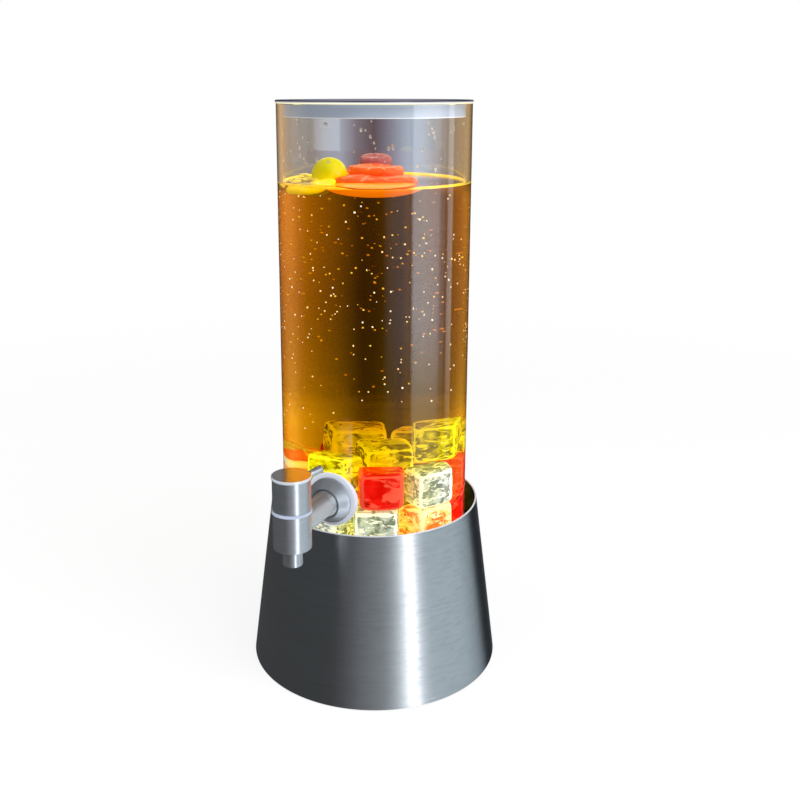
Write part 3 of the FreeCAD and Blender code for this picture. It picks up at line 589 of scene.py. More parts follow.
shell_low, shell_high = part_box("base_shell")
SHELL_FOOT_R = shell_high.x
shell_slope = (SHELL_FOOT_R - SHELL_RIM_R) / (shell_high.z - shell_low.z)
shell_steel = brushed_steel(
    "shell_steel", (0.66, 0.67, 0.68), 0.34, SHELL_BRUSHING, sheet_wave=SHEET_WAVE
)
# Painted shade: the shell's inward faces get a near-black steel, painted where the inside of the
# cone lies in shadow.
inner_shade_steel = brushed_steel("inner_shade_steel", (0.12, 0.13, 0.13), 0.6, INNER_SHADE_BRUSHING)
# Painted highlight: the shell's rim top and the knob's top edge get a pale, half-metallic steel, a
# light line painted along their rounded edges.
rim_highlight_steel = brushed_steel("rim_highlight_steel", (0.66, 0.70, 0.74), 0.3, FINE_BRUSHING, metallic=0.3)
base_shell = turned(
    "base_shell_sheet",
    [
        (SHELL_FOOT_R, shell_low.z),
        (SHELL_RIM_R + shell_slope * SHELL_RIM_ROUND, shell_high.z - SHELL_RIM_ROUND),
        (SHELL_RIM_R - SHELL_LIP, shell_high.z),
        (SHELL_RIM_R - SHELL_WALL + SHELL_LIP, shell_high.z),
        (SHELL_RIM_R - SHELL_WALL, shell_high.z - SHELL_RIM_ROUND),
        (SHELL_FOOT_R - SHELL_WALL, shell_low.z),
    ],
    "base",
    shell_steel,
)
base_shell.data.materials.append(inner_shade_steel)
base_shell.data.materials.append(rim_highlight_steel)
# Inward faces take the painted shade steel; the rim's top takes the painted highlight steel.
for face in base_shell.data.polygons:
    faces_in = face.normal.x * face.center.x + face.normal.y * face.center.y < 0
    if face.center.z > shell_high.z - SHELL_RIM_ROUND:
        face.material_index = 2
    elif faces_in:
        face.material_index = 1
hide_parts("base_shell")

# Mouldings in the base: frame, cover, battery tray and cap, light cup and switch body, all in
# black plastic with a fine spark-eroded grain.
GRAIN_SCALE = 2600.0
PLASTIC_CLOUDS = 60.0
PLASTIC_PALER = 1.25
PLASTIC_LIFT = 0.004
COARSE_GRAIN = 0.05 * MM
COVER_GRAIN = 0.04 * MM
FRAME_GRAIN = 0.03 * MM
POLISHED = 0.01 * MM


def moulded(name, colour, roughness, grain):
    """Moulded plastic: an even colour, slightly cloudy, with a grain of the given depth."""
    plastic = Finish(bpy.data.materials.new(name))
    grains = plastic.noise(GRAIN_SCALE)
    clouds = plastic.noise(PLASTIC_CLOUDS, detail=3.0)
    even, paler = darker_and_paler(colour, 1.0, PLASTIC_PALER, PLASTIC_LIFT)
    shader = plastic.surface(
        Base_Color=plastic.mix(clouds, even, paler),
        Roughness=roughness - 0.06 + 0.12 * grains,
        Normal=plastic.bump(grains, grain),
    )
    return plastic.shade(shader)


def dressed(finish, *nodes):
    """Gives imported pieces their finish."""
    for node in nodes:
        materials = frame["nodes"][node].data.materials
        for place in range(len(materials)):
            materials[place] = finish
        if not materials:
            materials.append(finish)


frame_plastic = moulded("frame_plastic", (0.018, 0.018, 0.02), 0.5, FRAME_GRAIN)
dressed(frame_plastic, "base_frame", "battery_tray", "light_housing", "switch_body", "switch_bezel")
cover_plastic = moulded("cover_plastic", (0.022, 0.022, 0.024), 0.55, COVER_GRAIN)
dressed(cover_plastic, "base_cover", "battery_cap")

# Rubber: the foot ring pressed on under the shell, the soft seat pad that the tube stands on, the
# switch's dome and the gaskets in pale silicone, and the valve core's two black rings.
foot_rubber = moulded("foot_rubber", (0.012, 0.012, 0.012), 0.75, COARSE_GRAIN)
dressed(foot_rubber, "foot_ring")
pale_silicone = moulded("pale_silicone", (0.60, 0.63, 0.72), 0.42, POLISHED)
dressed(pale_silicone, "tube_seat_pad", "inner_gasket", "switch_dome")
black_rubber = moulded("black_rubber", (0.01, 0.01, 0.01), 0.45, POLISHED)
dressed(black_rubber, "core_o_rings")

# Small metal pieces: zinc-plated tabs and screws, which hold the frame, the cover and the light
# cup, the pressed nickel contacts of the cells, and the turned brass core of the valve.
MOTTLE_SCALE = 420.0
MOTTLE_DEPTH = 0.01 * MM
MOTTLE_SHOWS = 0.4
METAL_DARKER = 0.8


def plated(name, colour, roughness):
    """A plated or turned metal with a faint mottle."""
    metal = Finish(bpy.data.materials.new(name))
    mottle = metal.noise(MOTTLE_SCALE, detail=3.0)
    darker, even = darker_and_paler(colour, METAL_DARKER, 1.0)
    shader = metal.surface(
        Base_Color=metal.mix(mottle, darker, even),
        Metallic=1.0,
        Roughness=roughness - 0.05 + 0.1 * mottle,
        Normal=metal.bump(mottle, MOTTLE_DEPTH, MOTTLE_SHOWS),
    )
    return metal.shade(shader)


zinc_steel = plated("zinc_steel", (0.58, 0.59, 0.62), 0.32)
dressed(zinc_steel, "shell_tabs", "frame_screws", "cover_screws", "housing_screws")
dressed(plated("contact_metal", (0.72, 0.7, 0.66), 0.22), "battery_contacts")
dressed(plated("core_brass", (0.76, 0.55, 0.24), 0.25), "valve_core")

# Light unit: a lacquered board with nine clear lamps under a frosted lens, fed by three wrapped
# cells through two covered wires and switched by a red push button.
dressed(moulded("circuit_board", (0.012, 0.11, 0.045), 0.28, POLISHED), "led_board")
dressed(moulded("button_plastic", (0.42, 0.02, 0.02), 0.3, POLISHED), "switch_button")
dressed(moulded("cell_wrap", (0.05, 0.06, 0.08), 0.25, POLISHED), "batteries")
dressed(moulded("wire_cover", (0.4, 0.03, 0.02), 0.35, POLISHED), "lead_wires")
LENS_FROST = 300.0
LENS_COLOURS = ((0.9, 0.86, 0.7, 1), (0.95, 0.93, 0.85, 1))
LAMP_COLOUR = (1.0, 0.9, 0.6, 1)
LAMP_GLOW = 0.6
lamp_glow = Finish(bpy.data.materials.new("lamp_glow"))
glow_patch = lamp_glow.noise(LENS_FROST, detail=1.0)
lamp_lens = lamp_glow.shade(
    lamp_glow.surface(
        Base_Color=lamp_glow.mix(glow_patch, *LENS_COLOURS),
        Roughness=0.25 + 0.1 * glow_patch,
        Emission_Color=LAMP_COLOUR,
        Emission_Strength=LAMP_GLOW,
    )
)
dressed(lamp_lens, "leds", "light_lens")

# Tap: turned stainless pieces round an upright axis, the knob over the body with a pale ring
# between them, a spout below and a lever pin in the knob's side.
PACKED_GAP = 0.001 * MM
CAST_EDGE = 28
KNOB_RIM = 1.7 * MM
LEVEL_FACE = 0.9


def cast(node, finish):
    """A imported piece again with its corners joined, so that its round faces shade smoothly."""
    packed = frame["nodes"][node]
    shape = bmesh.new()
    shape.from_mesh(packed.data)
    bmesh.ops.remove_doubles(shape, verts=shape.verts, dist=PACKED_GAP)
    piece = finished(node + "_skin", shape, packed["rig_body"], finish, CAST_EDGE)
    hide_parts(node)
    return piece


tap_steel = brushed_steel("tap_steel", (0.68, 0.70, 0.73), 0.36, FINE_BRUSHING, metallic=0.94)
for tap_node in ("tap_body", "tap_spout", "tap_knob", "lever_pin", "stop_screw", "knob_screw"):
    cast(tap_node, tap_steel)
seal_silicone = moulded("seal_silicone", (0.36, 0.41, 0.53), 0.42, POLISHED)
cast("tap_seal_ring", seal_silicone)
top_steel = plated("top_steel", (0.72, 0.70, 0.68), 0.16)
# The knob's top edge takes the rim's painted highlight; its flat top takes a polished steel.
knob = bpy.data.objects["tap_knob_skin"]
knob.data.materials.append(rim_highlight_steel)
knob.data.materials.append(top_steel)
knob_top = max(vert.co.z for vert in knob.data.vertices)
for face in knob.data.polygons:
    if face.center.z > knob_top - KNOB_RIM:
        face.material_index = 1 if face.normal.z < LEVEL_FACE else 2

# Shank: the threaded pipe through the tube's wall, with its stepped collar and round flange
# outside on a pale gasket, and a washer and nut inside. The middle of their texture space lies far
# behind them, so that their brushing runs straight and not round them.
FAR_BACK = (0, -10, 0)
pipe_steel = brushed_steel("pipe_steel", (0.68, 0.70, 0.72), 0.45, FINE_BRUSHING, metallic=0.90)
flange_steel = brushed_steel("flange_steel", (0.62, 0.66, 0.72), 0.5, FINE_BRUSHING, metallic=0.87)
for shank_node in ("tap_shank", "tap_flange", "shank_collar", "shank_washer", "shank_nut"):
    shank_finish = flange_steel if shank_node == "tap_flange" else pipe_steel
    shank_piece = cast(shank_node, shank_finish)
    shank_piece.data.use_auto_texspace = False
    shank_piece.data.texspace_location = FAR_BACK
cast("outer_gasket", pale_silicone)

# Tube: clear acrylic, 110 mm across with a 3 mm wall, saw-cut and polished, glued on the floor
# disc and drilled through at the front for the shank.
tube_low, tube_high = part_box("tube")
shank_low, shank_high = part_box("tap_shank")
TUBE_R = tube_high.x
TUBE_WALL = 3.0 * MM
BORE_R = TUBE_R - TUBE_WALL
CUT_ROUND = 0.25 * MM
TUBE_RINGS = 48
HOLE_CLEAR = 0.15 * MM
HOLE_R = (shank_high.x - shank_low.x) / 2 + HOLE_CLEAR
DRILL_SIDES = 64
ACRYLIC_IOR = 1.49
CLEAR_COLOUR = (1.0, 1.0, 1.0, 1)
SMEAR_COLOUR = (0.975, 0.98, 0.985, 1)
SMEAR_SCALE = 14.0
SMEAR_EDGE = (0.45, 0.9)
SHADOW_TINT = (0.96, 0.96, 0.96)
clear_finish = Finish(bpy.data.materials.new("clear_acrylic"))
smear = clear_finish.step(clear_finish.noise(SMEAR_SCALE, detail=3.0), *SMEAR_EDGE)
clear_surface = clear_finish.surface(
    Base_Color=clear_finish.mix(smear, CLEAR_COLOUR, SMEAR_COLOUR),
    Roughness=0.0,
    IOR=ACRYLIC_IOR,
    Transmission_Weight=1.0,
)
clear_acrylic = clear_finish.shade(clear_finish.lets_lamps_through(clear_surface, SHADOW_TINT))


def rising(away, low, high, rings):
    """Points up a straight side, spaced evenly."""
    return [(away, low + (high - low) * step / rings) for step in range(rings + 1)]


tube_side = rising(TUBE_R, tube_low.z + CUT_ROUND, tube_high.z - CUT_ROUND, TUBE_RINGS)
tube_bore = rising(BORE_R, tube_high.z - CUT_ROUND, tube_low.z + CUT_ROUND, TUBE_RINGS)
tube_wall = turned(
    "tube_wall",
    tube_side
    + [(TUBE_R - CUT_ROUND, tube_high.z), (BORE_R + CUT_ROUND, tube_high.z)]
    + tube_bore
    + [(BORE_R + CUT_ROUND, tube_low.z), (TUBE_R - CUT_ROUND, tube_low.z)],
    "vessel",
    clear_acrylic,
)
drill_shape = bmesh.new()
bmesh.ops.create_cone(
    drill_shape,
    cap_ends=True,
    segments=DRILL_SIDES,
    radius1=HOLE_R,
    radius2=HOLE_R,
    depth=4 * TUBE_WALL,
    matrix=Matrix.Translation((0, -TUBE_R, (shank_low.z + shank_high.z) / 2))
    @ Matrix.Rotation(math.pi / 2, 4, "X")
    @ Matrix.Rotation(math.pi / DRILL_SIDES, 4, "Z"),
)
drill_mesh = bpy.data.meshes.new("drill")
drill_shape.to_mesh(drill_mesh)
drill_shape.free()
drill = bpy.data.objects.new("drill", drill_mesh)
bpy.context.scene.collection.objects.link(drill)
shank_hole = tube_wall.modifiers.new("shank_hole", "BOOLEAN")
shank_hole.object = drill
drilled = tube_wall.evaluated_get(bpy.context.evaluated_depsgraph_get())
tube_mesh = bpy.data.meshes.new_from_object(drilled)
tube_wall.modifiers.clear()
tube_wall.data = tube_mesh
bpy.data.objects.remove(drill)
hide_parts("tube")
dressed(clear_acrylic, "tube_floor")

# Lid: a disc of clear acrylic laid on the tube, turned, with its corners rounded and its edge
# painted with the warm and the dark of the room in layers, a painted reflection that glows. A plug
# ring of paler acrylic, which drops into the tube's bore, is glued under it; its lowest edge is a
# painted highlight, and it glows a little with painted light.
plate_low, plate_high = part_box("lid_plate")
plug_low, plug_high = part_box("lid_plug")
LID_ROUND = 0.3 * MM
LID_FLAT = 0.95
LID_PATCHES = 30.0
LID_RIPPLE = 0.16
EDGE_REFLECTION = [
    (0.0, (0.95, 0.83, 0.42)),
    (0.30, (0.90, 0.84, 0.62)),
    (0.42, (0.36, 0.36, 0.40)),
    (0.62, (0.30, 0.30, 0.36)),
    (0.74, (0.02, 0.02, 0.03)),
]
EDGE_REFLECTION_GLOW = 0.25
PLUG_WALL = 2.0 * MM
PLUG_LIP = (0.7 * MM, 0.3 * MM)
PLUG_COLOURS = ((0.44, 0.51, 0.60, 1), (0.60, 0.68, 0.80, 1))
PLUG_HIGHLIGHT_COLOUR = (0.95, 0.98, 1.0, 1)
PLUG_GLOW = 0.2
PLUG_CLEARNESS = 0.15
lid_plate = turned(
    "lid_disc",
    [
        (0, plate_low.z),
        (plate_high.x - LID_ROUND, plate_low.z),
        (plate_high.x, plate_low.z + LID_ROUND),
        (plate_high.x, plate_high.z - LID_ROUND),
        (plate_high.x - LID_ROUND, plate_high.z),
        (0, plate_high.z),
    ],
    "lid",
    clear_acrylic,
)
# Painted reflection: the lid's edge is painted in layers up its height, warm to dark, and glows,
# standing for the room seen in it.
lid_reflection = Finish(bpy.data.materials.new("lid_edge_reflection"))
lid_rise = (lid_reflection.object_height() - plate_low.z) / (plate_high.z - plate_low.z)
lid_patch = lid_reflection.noise(LID_PATCHES)
layered = lid_reflection.ramp(lid_rise + LID_RIPPLE * (lid_patch - 0.5), EDGE_REFLECTION)
lid_edge_reflection = lid_reflection.shade(lid_reflection.glowing(layered, EDGE_REFLECTION_GLOW, Roughness=0.2))
lid_plate.data.materials.append(lid_edge_reflection)
for face in lid_plate.data.polygons:
    if abs(face.normal.z) < LID_FLAT:
        face.material_index = 1
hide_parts("lid_plate")
# Painted light: the plug's lowest edge is painted near white, a painted highlight, and the whole
# ring glows a little.
plug_pale = Finish(bpy.data.materials.new("plug_acrylic"))
plug_smear = plug_pale.noise(LID_PATCHES, detail=3.0)
plug_highlight = plug_pale.step(plug_pale.object_height() - plug_low.z, *PLUG_LIP)
plug_shade = plug_pale.mix(plug_highlight, plug_pale.mix(plug_smear, *PLUG_COLOURS), PLUG_HIGHLIGHT_COLOUR)
plug_acrylic = plug_pale.shade(
    plug_pale.glowing(
        plug_shade,
        PLUG_GLOW,
        Roughness=0.18 + 0.1 * plug_smear,
        IOR=ACRYLIC_IOR,
        Transmission_Weight=PLUG_CLEARNESS,
    )
)
lid_plug = turned(
    "lid_plug_ring",
    [
        (plug_high.x - PLUG_WALL, plug_low.z),
        (plug_high.x, plug_low.z),
        (plug_high.x, plug_high.z),
        (plug_high.x - PLUG_WALL, plug_high.z),
    ],
    "lid",
    plug_acrylic,
)
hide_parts("lid_plug")

# Drink: the tube filled to 43 mm below its top. Its skin bites a little into the tube's wall so
# that no air shows between them, and it climbs the wall in a small curve.
DRINK_TOP = 290.0 * MM
DRINK_BITE = 0.15 * MM
DRINK_R = BORE_R + DRINK_BITE
DRINK_RINGS = 40
DRINK_IOR = 1.34
DRINK_COLOUR = (0.914, 0.81, 0.0, 1)
DRINK_DENSITY = 90.0
CLIMB = 0.25 * MM
CLIMB_WIDTH = 1.0 * MM
CLIMB_POINTS = 7
drink_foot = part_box("tube_floor")[1].z
drink_side = rising(DRINK_R, drink_foot, DRINK_TOP + CLIMB, DRINK_RINGS)
drink_climb = [
    (
        DRINK_R - CLIMB_WIDTH * step / CLIMB_POINTS,
        DRINK_TOP + CLIMB * (1 - step / CLIMB_POINTS) ** 2,
    )
    for step in range(1, CLIMB_POINTS + 1)
]
drink_finish = Finish(bpy.data.materials.new("amber_drink"))
drink_surface = drink_finish.surface(
    Base_Color=WHITE, Roughness=0.0, IOR=DRINK_IOR, Transmission_Weight=1.0
)
drink_depth = drink_finish.node(
    "ShaderNodeVolumeAbsorption", {}, {"Color": DRINK_COLOUR, "Density": DRINK_DENSITY}
)["Volume"]
turned(
    "drink",
    [(0, drink_foot)] + drink_side + drink_climb + [(0, DRINK_TOP)],
    "vessel",
    drink_finish.shade(drink_finish.lets_lamps_through(drink_surface, WHITE[:3]), drink_depth),
)

# Froth line: juice and fine froth that cling to the wall where the drink ends. It is a thin ring
# round the bore, which tapers away to almost nothing along a gap at the front.
FROTH_LOW = DRINK_TOP - 0.3 * MM
FROTH_HIGH = DRINK_TOP + 1.1 * MM
FROTH_DEPTH = 0.9 * MM
FROTH_R = BORE_R - 0.03 * MM
FROTH_GAP = (math.radians(-12), math.radians(17))
FROTH_TAPER = math.radians(9)
FROTH_LEFT = 0.05
FROTH_GRAIN = 260.0
FROTH_COLOURS = ((0.95, 0.50, 0.0, 1), (1.0, 0.88, 0.05, 1))
FROTH_GLOW = 0.5
# Painted light: the froth glows in its own colours.
froth = Finish(bpy.data.materials.new("froth"))
froth_colour = froth.mix(froth.noise(FROTH_GRAIN, detail=3.0), *FROTH_COLOURS)
froth_finish = froth.shade(
    froth.glowing(froth_colour, FROTH_GLOW, Roughness=0.3, Transmission_Weight=0.3)
)
froth_line = turned(
    "froth_line",
    [
        (FROTH_R, FROTH_LOW),
        (FROTH_R, FROTH_HIGH),
        (BORE_R - 0.3 * MM, FROTH_HIGH - 0.5 * MM),
        (BORE_R - FROTH_DEPTH, DRINK_TOP + 0.15 * MM),
        (BORE_R - FROTH_DEPTH, FROTH_LOW),
    ],
    "vessel",
    froth_finish,
)
for vert in froth_line.data.vertices:
    from_front = math.atan2(vert.co.x, -vert.co.y) - CAMERA_SIDE
    clear_of_gap = max(FROTH_GAP[0] - from_front, from_front - FROTH_GAP[1]) / FROTH_TAPER
    size = min(1.0, max(FROTH_LEFT, clear_of_gap))
    away = math.hypot(vert.co.x, vert.co.y)
    pressed = FROTH_R - (FROTH_R - away) * size
    vert.co.x = vert.co.x * pressed / away
    vert.co.y = vert.co.y * pressed / away
    vert.co.z = DRINK_TOP + (vert.co.z - DRINK_TOP) * size

# Bubbles: small beads of gas, most of them on the tube's wall in the upper half of the drink. They
# are one mesh of small round beads.
BUBBLE_COUNT = 520
BUBBLE_SIZES = (0.28 * MM, 0.62 * MM)
BUBBLE_BAND = 240.0 * MM
BUBBLE_SPREAD = 42.0 * MM
BUBBLE_TOP = DRINK_TOP - 3.0 * MM
BUBBLE_BOTTOM = 140.0 * MM
BUBBLE_CLEAR = 1.4
BUBBLE_PATCHES = 90.0
BUBBLE_EDGE = (0.4, 0.6)
BUBBLE_GLINT_COLOURS = ((1.0, 0.66, 0.30, 1), (1.0, 0.90, 0.68, 1))
BUBBLE_GLOW = 1.1
ON_WALL = 0.7
ALL_SMOOTH = 180
random.seed(11)
bubble_shape = bmesh.new()
for _ in range(BUBBLE_COUNT):
    bubble_size = random.uniform(*BUBBLE_SIZES)
    bubble_turn = random.uniform(0, math.tau)
    bubble_away = BORE_R - BUBBLE_CLEAR * bubble_size
    if random.random() > ON_WALL:
        bubble_away = bubble_away * math.sqrt(random.random())
    bubble_height = random.gauss(BUBBLE_BAND, BUBBLE_SPREAD)
    while not BUBBLE_BOTTOM < bubble_height < BUBBLE_TOP:
        bubble_height = random.gauss(BUBBLE_BAND, BUBBLE_SPREAD)
    bubble_place = Vector(
        (bubble_away * math.cos(bubble_turn), bubble_away * math.sin(bubble_turn), bubble_height)
    )
    bmesh.ops.create_icosphere(
        bubble_shape, subdivisions=1, radius=bubble_size, matrix=Matrix.Translation(bubble_place)
    )
# Painted highlights: the bubbles glow in pale warm colours, glints of light painted into them.
bubble_finish = Finish(bpy.data.materials.new("bubble_glint"))
bubble_patch = bubble_finish.step(bubble_finish.noise(BUBBLE_PATCHES, detail=1.0), *BUBBLE_EDGE)
bubble_glint_colour = bubble_finish.mix(bubble_patch, *BUBBLE_GLINT_COLOURS)
bubble_glint = bubble_finish.shade(
    bubble_finish.glowing(bubble_glint_colour, BUBBLE_GLOW, Roughness=0.2)
)
finished("bubbles", bubble_shape, "vessel", bubble_glint, ALL_SMOOTH)

# Lit blocks: clear, yellow and red acrylic ice cubes, 25 mm wide and 22 mm high, piled on the floor
# disc and lit from below. Each is a cast cube with soft corners, dimpled sides and a wavy skin. A
# row of BLOCKS is a finish, a place across, towards the camera and up, a turn and a lean.
BLOCK_WIDTH = 25.0
BLOCK_HEIGHT = 22.0
BLOCK_CUTS = 7
BLOCK_ROUND = 7.0
BLOCK_DIMPLE = 0.07
BLOCK_WAVE = 0.035
BLOCK_WAVE_SCALE = 1.5
BLOCK_WAVE_SHIFT = 7.3
BLOCK_CLEAR = 0.5 * MM
BLOCK_IOR = 1.16
EDGE_FALL = 5
ACROSS = Vector((math.cos(CAMERA_SIDE), math.sin(CAMERA_SIDE), 0))
NEAR = Vector((math.sin(CAMERA_SIDE), -math.cos(CAMERA_SIDE), 0))
PATCH_EDGE = (0.40, 0.58)
GLINT_EDGE = (0.52, 0.62)
GLINT_TALL = 2.4
CREASE_EDGE = (0.40, 0.34)
CREASE_SCALE = 1.3
CREASE_SHOWS = 0.75
CREASE_SHADE = 0.4
RIM_EDGE = (0.45, 0.8)
RIM_RAGGED = 1.4
SKIN_DEPTH = 1.5 * MM
SKIN_SHOWS = 0.7


def spot(across, near, height):
    """A place in the tube, in millimetres across and towards the camera from the tube's axis."""
    return (ACROSS * across + NEAR * near + UP * height) * MM


def kept_inside(place, margin):
    """A place moved in, where it has to be, so that it clears the tube's bore."""
    limit = BORE_R - margin
    away = math.hypot(place.x, place.y)
    if away <= limit:
        return place
    return Vector((place.x * limit / away, place.y * limit / away, place.z))


def lit_plastic(name, deep, middle, bright, strength, clearness, scale):
    """Acrylic glowing in painted light: patches, painted glints and edge highlights, creases in
    painted shade.
    """
    lit = Finish(bpy.data.materials.new(name))
    edge = lit.node("ShaderNodeAttribute", {"attribute_name": "edge"})["Fac"]
    patches = lit.noise(scale, distortion=0.7)
    glints = lit.drawn_noise(scale, GLINT_TALL * scale, detail=3.0, distortion=1.6)
    crease_shade = lit.step(lit.noise(CREASE_SCALE * scale, distortion=2.2), *CREASE_EDGE)
    # The rim mask paints a highlight along the block's edges; the creases are darkened with painted
    # shade.
    rim = lit.step(edge + (patches - 0.5) * RIM_RAGGED, *RIM_EDGE)
    shade = lit.mix(lit.step(patches, *PATCH_EDGE), (*deep, 1), (*middle, 1))
    shade = lit.mix(lit.step(glints, *GLINT_EDGE), shade, (*bright, 1))
    shade = lit.mix(crease_shade * CREASE_SHOWS, shade, (*(part * CREASE_SHADE for part in deep), 1))
    shade = lit.mix(rim, shade, (*bright, 1))
    return lit.shade(
        lit.glowing(
            shade,
            strength,
            Roughness=0.07,
            IOR=BLOCK_IOR,
            Transmission_Weight=clearness,
            Normal=lit.bump(patches, SKIN_DEPTH, SKIN_SHOWS),
        )
    )


# Painted light: a look lists a block's deep, middle and bright colours, its glow's strength, its
# clearness and its noise scale. The glow is painted light from the lamps below, and the bright
# colour its painted glints and edge highlights.
BLOCK_LOOKS = {
    "yellow": ((0.16, 0.155, 0.0), (0.66, 0.69, 0.0), (0.95, 0.98, 0.03), 0.84, 0.3, 90),
    "red": ((0.66, 0.002, 0.0), (0.88, 0.012, 0.008), (0.96, 0.10, 0.07), 0.7, 0.0, 55),
    "clear": ((0.13, 0.18, 0.19), (0.42, 0.50, 0.56), (0.86, 0.92, 1.0), 0.95, 0.3, 140),
    "orange": ((0.92, 0.18, 0.03), (0.72, 0.70, 0.28), (1.0, 0.95, 0.70), 0.8, 0.3, 130),
}
block_finishes = {kind: lit_plastic("lit_" + kind, *looks) for kind, looks in BLOCK_LOOKS.items()}
LAYERS_LOW = 112.0 * MM
LAYERS_TALL = 16.0 * MM
LAYERS = [
    (0.40, (0.95, 0.30, 0.02)),
    (0.46, (1.0, 0.85, 0.55)),
    (0.52, (0.95, 0.28, 0.02)),
    (0.58, (1.0, 0.80, 0.55)),
    (0.64, (0.95, 0.36, 0.05)),
    (0.72, (1.0, 0.90, 0.66)),
    (0.84, (1.0, 0.95, 0.78)),
    (0.93, (1.0, 0.88, 0.55)),
    (0.96, (0.90, 0.14, 0.0)),
    (1.0, (0.80, 0.10, 0.0)),
]
LAYERS_GLOW = 0.95
RIPPLES = (30, 170)
RIPPLE_HEIGHT = 0.22
RIPPLE_DEPTH = 1.2 * MM
RIPPLE_SHOWS = 0.6
# The layered block glows too, painted light from the lamps below.
layered_lit = Finish(bpy.data.materials.new("lit_layers"))
layer_rise = (layered_lit.object_height() - LAYERS_LOW) / LAYERS_TALL
ripple = layered_lit.drawn_noise(*RIPPLES, distortion=0.8)
layer_colour = layered_lit.ramp(layer_rise + RIPPLE_HEIGHT * (ripple - 0.5), LAYERS)
block_finishes["layered"] = layered_lit.shade(
    layered_lit.glowing(
        layer_colour,
        LAYERS_GLOW,
        Roughness=0.1,
        IOR=BLOCK_IOR,
        Normal=layered_lit.bump(ripple, RIPPLE_DEPTH, RIPPLE_SHOWS),
    )
)
BLOCKS = [
    ("red", 3.7, 36.5, 120.4, 2, 0),
    ("clear", 29.0, 25.5, 118.0, 30, 2),
    ("yellow", -21.0, 28.0, 127.0, -28, -6),
    ("yellow", 5.0, 9.5, 129.5, 14, 5),
    ("yellow", 29.0, 6.0, 140.0, 6, 0),
    ("yellow", -7.0, -17.0, 134.0, 4, 3),
    ("yellow", 20.0, -21.0, 131.0, -12, -4),
    ("red", 42.0, -3.0, 118.0, 66, 0),
    ("layered", -38.0, -1.0, 117.0, -80, 0),
    ("yellow", 40.0, -14.0, 127.0, 62, -4),
    ("red", -5.0, -38.0, 116.0, 8, 0),
    ("orange", -34.0, -24.0, 116.5, 38, 6),
    ("clear", 1.0, 37.0, 98.2, 0, 0),
    ("orange", 27.5, 26.0, 96.0, 40, -3),
    ("clear", -25.0, 29.0, 99.0, -36, 0),
    ("red", 42.5, 2.0, 96.0, 84, 0),
    ("clear", -42.0, 0.0, 97.0, -86, 0),
    ("yellow", 24.0, -30.0, 98.0, -35, 0),
    ("orange", -4.0, -36.0, 95.0, 5, 0),
    ("yellow", -30.0, -24.0, 100.0, 50, 0),
    ("yellow", -6.0, 8.0, 98.0, 12, 0),
    ("yellow", 0.0, 34.0, 77.2, 10, 0),
    ("red", 30.0, 18.0, 77.2, 35, 0),
    ("clear", 32.0, -14.0, 77.2, 62, 0),
    ("yellow", 4.0, -34.0, 77.2, -8, 0),
    ("red", -28.0, -22.0, 77.2, 42, 0),
    ("clear", -32.0, 12.0, 77.2, -70, 0),
]
for number, (kind, across, near, height, turn_angle, lean) in enumerate(BLOCKS):
    block_shape = bmesh.new()
    bmesh.ops.create_cube(block_shape, size=2.0)
    bmesh.ops.subdivide_edges(
        block_shape, edges=block_shape.edges, cuts=BLOCK_CUTS, use_grid_fill=True
    )
    edge_layer = block_shape.verts.layers.float.new("edge")
    block_turn = Euler((math.radians(lean), 0, CAMERA_SIDE + math.radians(turn_angle)))
    for vert in block_shape.verts:
        reach = sorted(abs(part) for part in vert.co)
        vert[edge_layer] = reach[1] ** EDGE_FALL
        rounded = sum(part**BLOCK_ROUND for part in reach) ** (1 / BLOCK_ROUND)
        seed_place = vert.co * BLOCK_WAVE_SCALE + Vector((number * BLOCK_WAVE_SHIFT, 0, 0))
        swell = 1 - BLOCK_DIMPLE * (1 - reach[1] ** 2) + BLOCK_WAVE * noise.noise(seed_place)
        shaped = vert.co / rounded * swell
        shaped = Vector((shaped.x * BLOCK_WIDTH, shaped.y * BLOCK_WIDTH, shaped.z * BLOCK_HEIGHT))
        shaped = shaped * 0.5 * MM
        shaped.rotate(block_turn)
        vert.co = kept_inside(shaped + spot(across, near, height), BLOCK_CLEAR)
    block_name = f"{kind}_block_{number}"
    block_finish = block_finishes[kind]
    block = finished(block_name, block_shape, "vessel", block_finish, ALL_SMOOTH)
    smoothing = block.modifiers.new("smoothing", "SUBSURF")
    smoothing.levels = 1
    smoothing.render_levels = 1

# Fruit: slices of orange and lemon, a small whole lemon and scraps of pulp, cut by hand and afloat
# in the top of the drink. Their flesh is pale along the walls between its segments.
ORANGE_PITH = (1.0, 0.50, 0.20)
LEMON_PITH = (1.0, 0.88, 0.45)
RED_PITH = (0.60, 0.20, 0.18)
PITH_SHOWS = 0.55
FRUIT_CLOUDS = 0.12
PORE_DEPTH = 0.2 * MM
PORES_SHOW = 0.5
FRUIT_COAT = 0.16
FRUIT_CLEAR = 0.6 * MM
SLICE_TURNS = 120
SLICE_RINGS = 32
SLICE_RAGGED = 0.09
SLICE_RAGGED_SCALE = 120
SLICE_WARP = 1.8 * MM
SLICE_WARP_SCALE = 55
SLICE_RIM = 12
SEGMENTS = 10
SEGMENT_SUNK = 0.16
SEGMENT_WALL = 3.5
PEEL_FROM = 0.97
PEEL_BLEND = 0.05
HALF_R = 23.0 * MM
HALF_DEPTH = 5.6 * MM
HALF_TOP = 2.0 * MM
LEMON_R = 10.3 * MM
LEMON_TIP = 0.12
LEMON_LIES = (math.radians(70), 0, math.radians(35))
SCRAP_COUNT = 16
SCRAP_SIZES = (1.2, 3.2)
SCRAP_BANDS = ((-48, -26), (-26, 14), (288.5, 291.5))
SCRAP_CLEAR = 3.5 * MM
SCRAP_LONG = 1.8
SCRAP_FLAT = 0.5
SCRAP_BUMPS = 0.35
SCRAP_BUMP_SCALE = 900


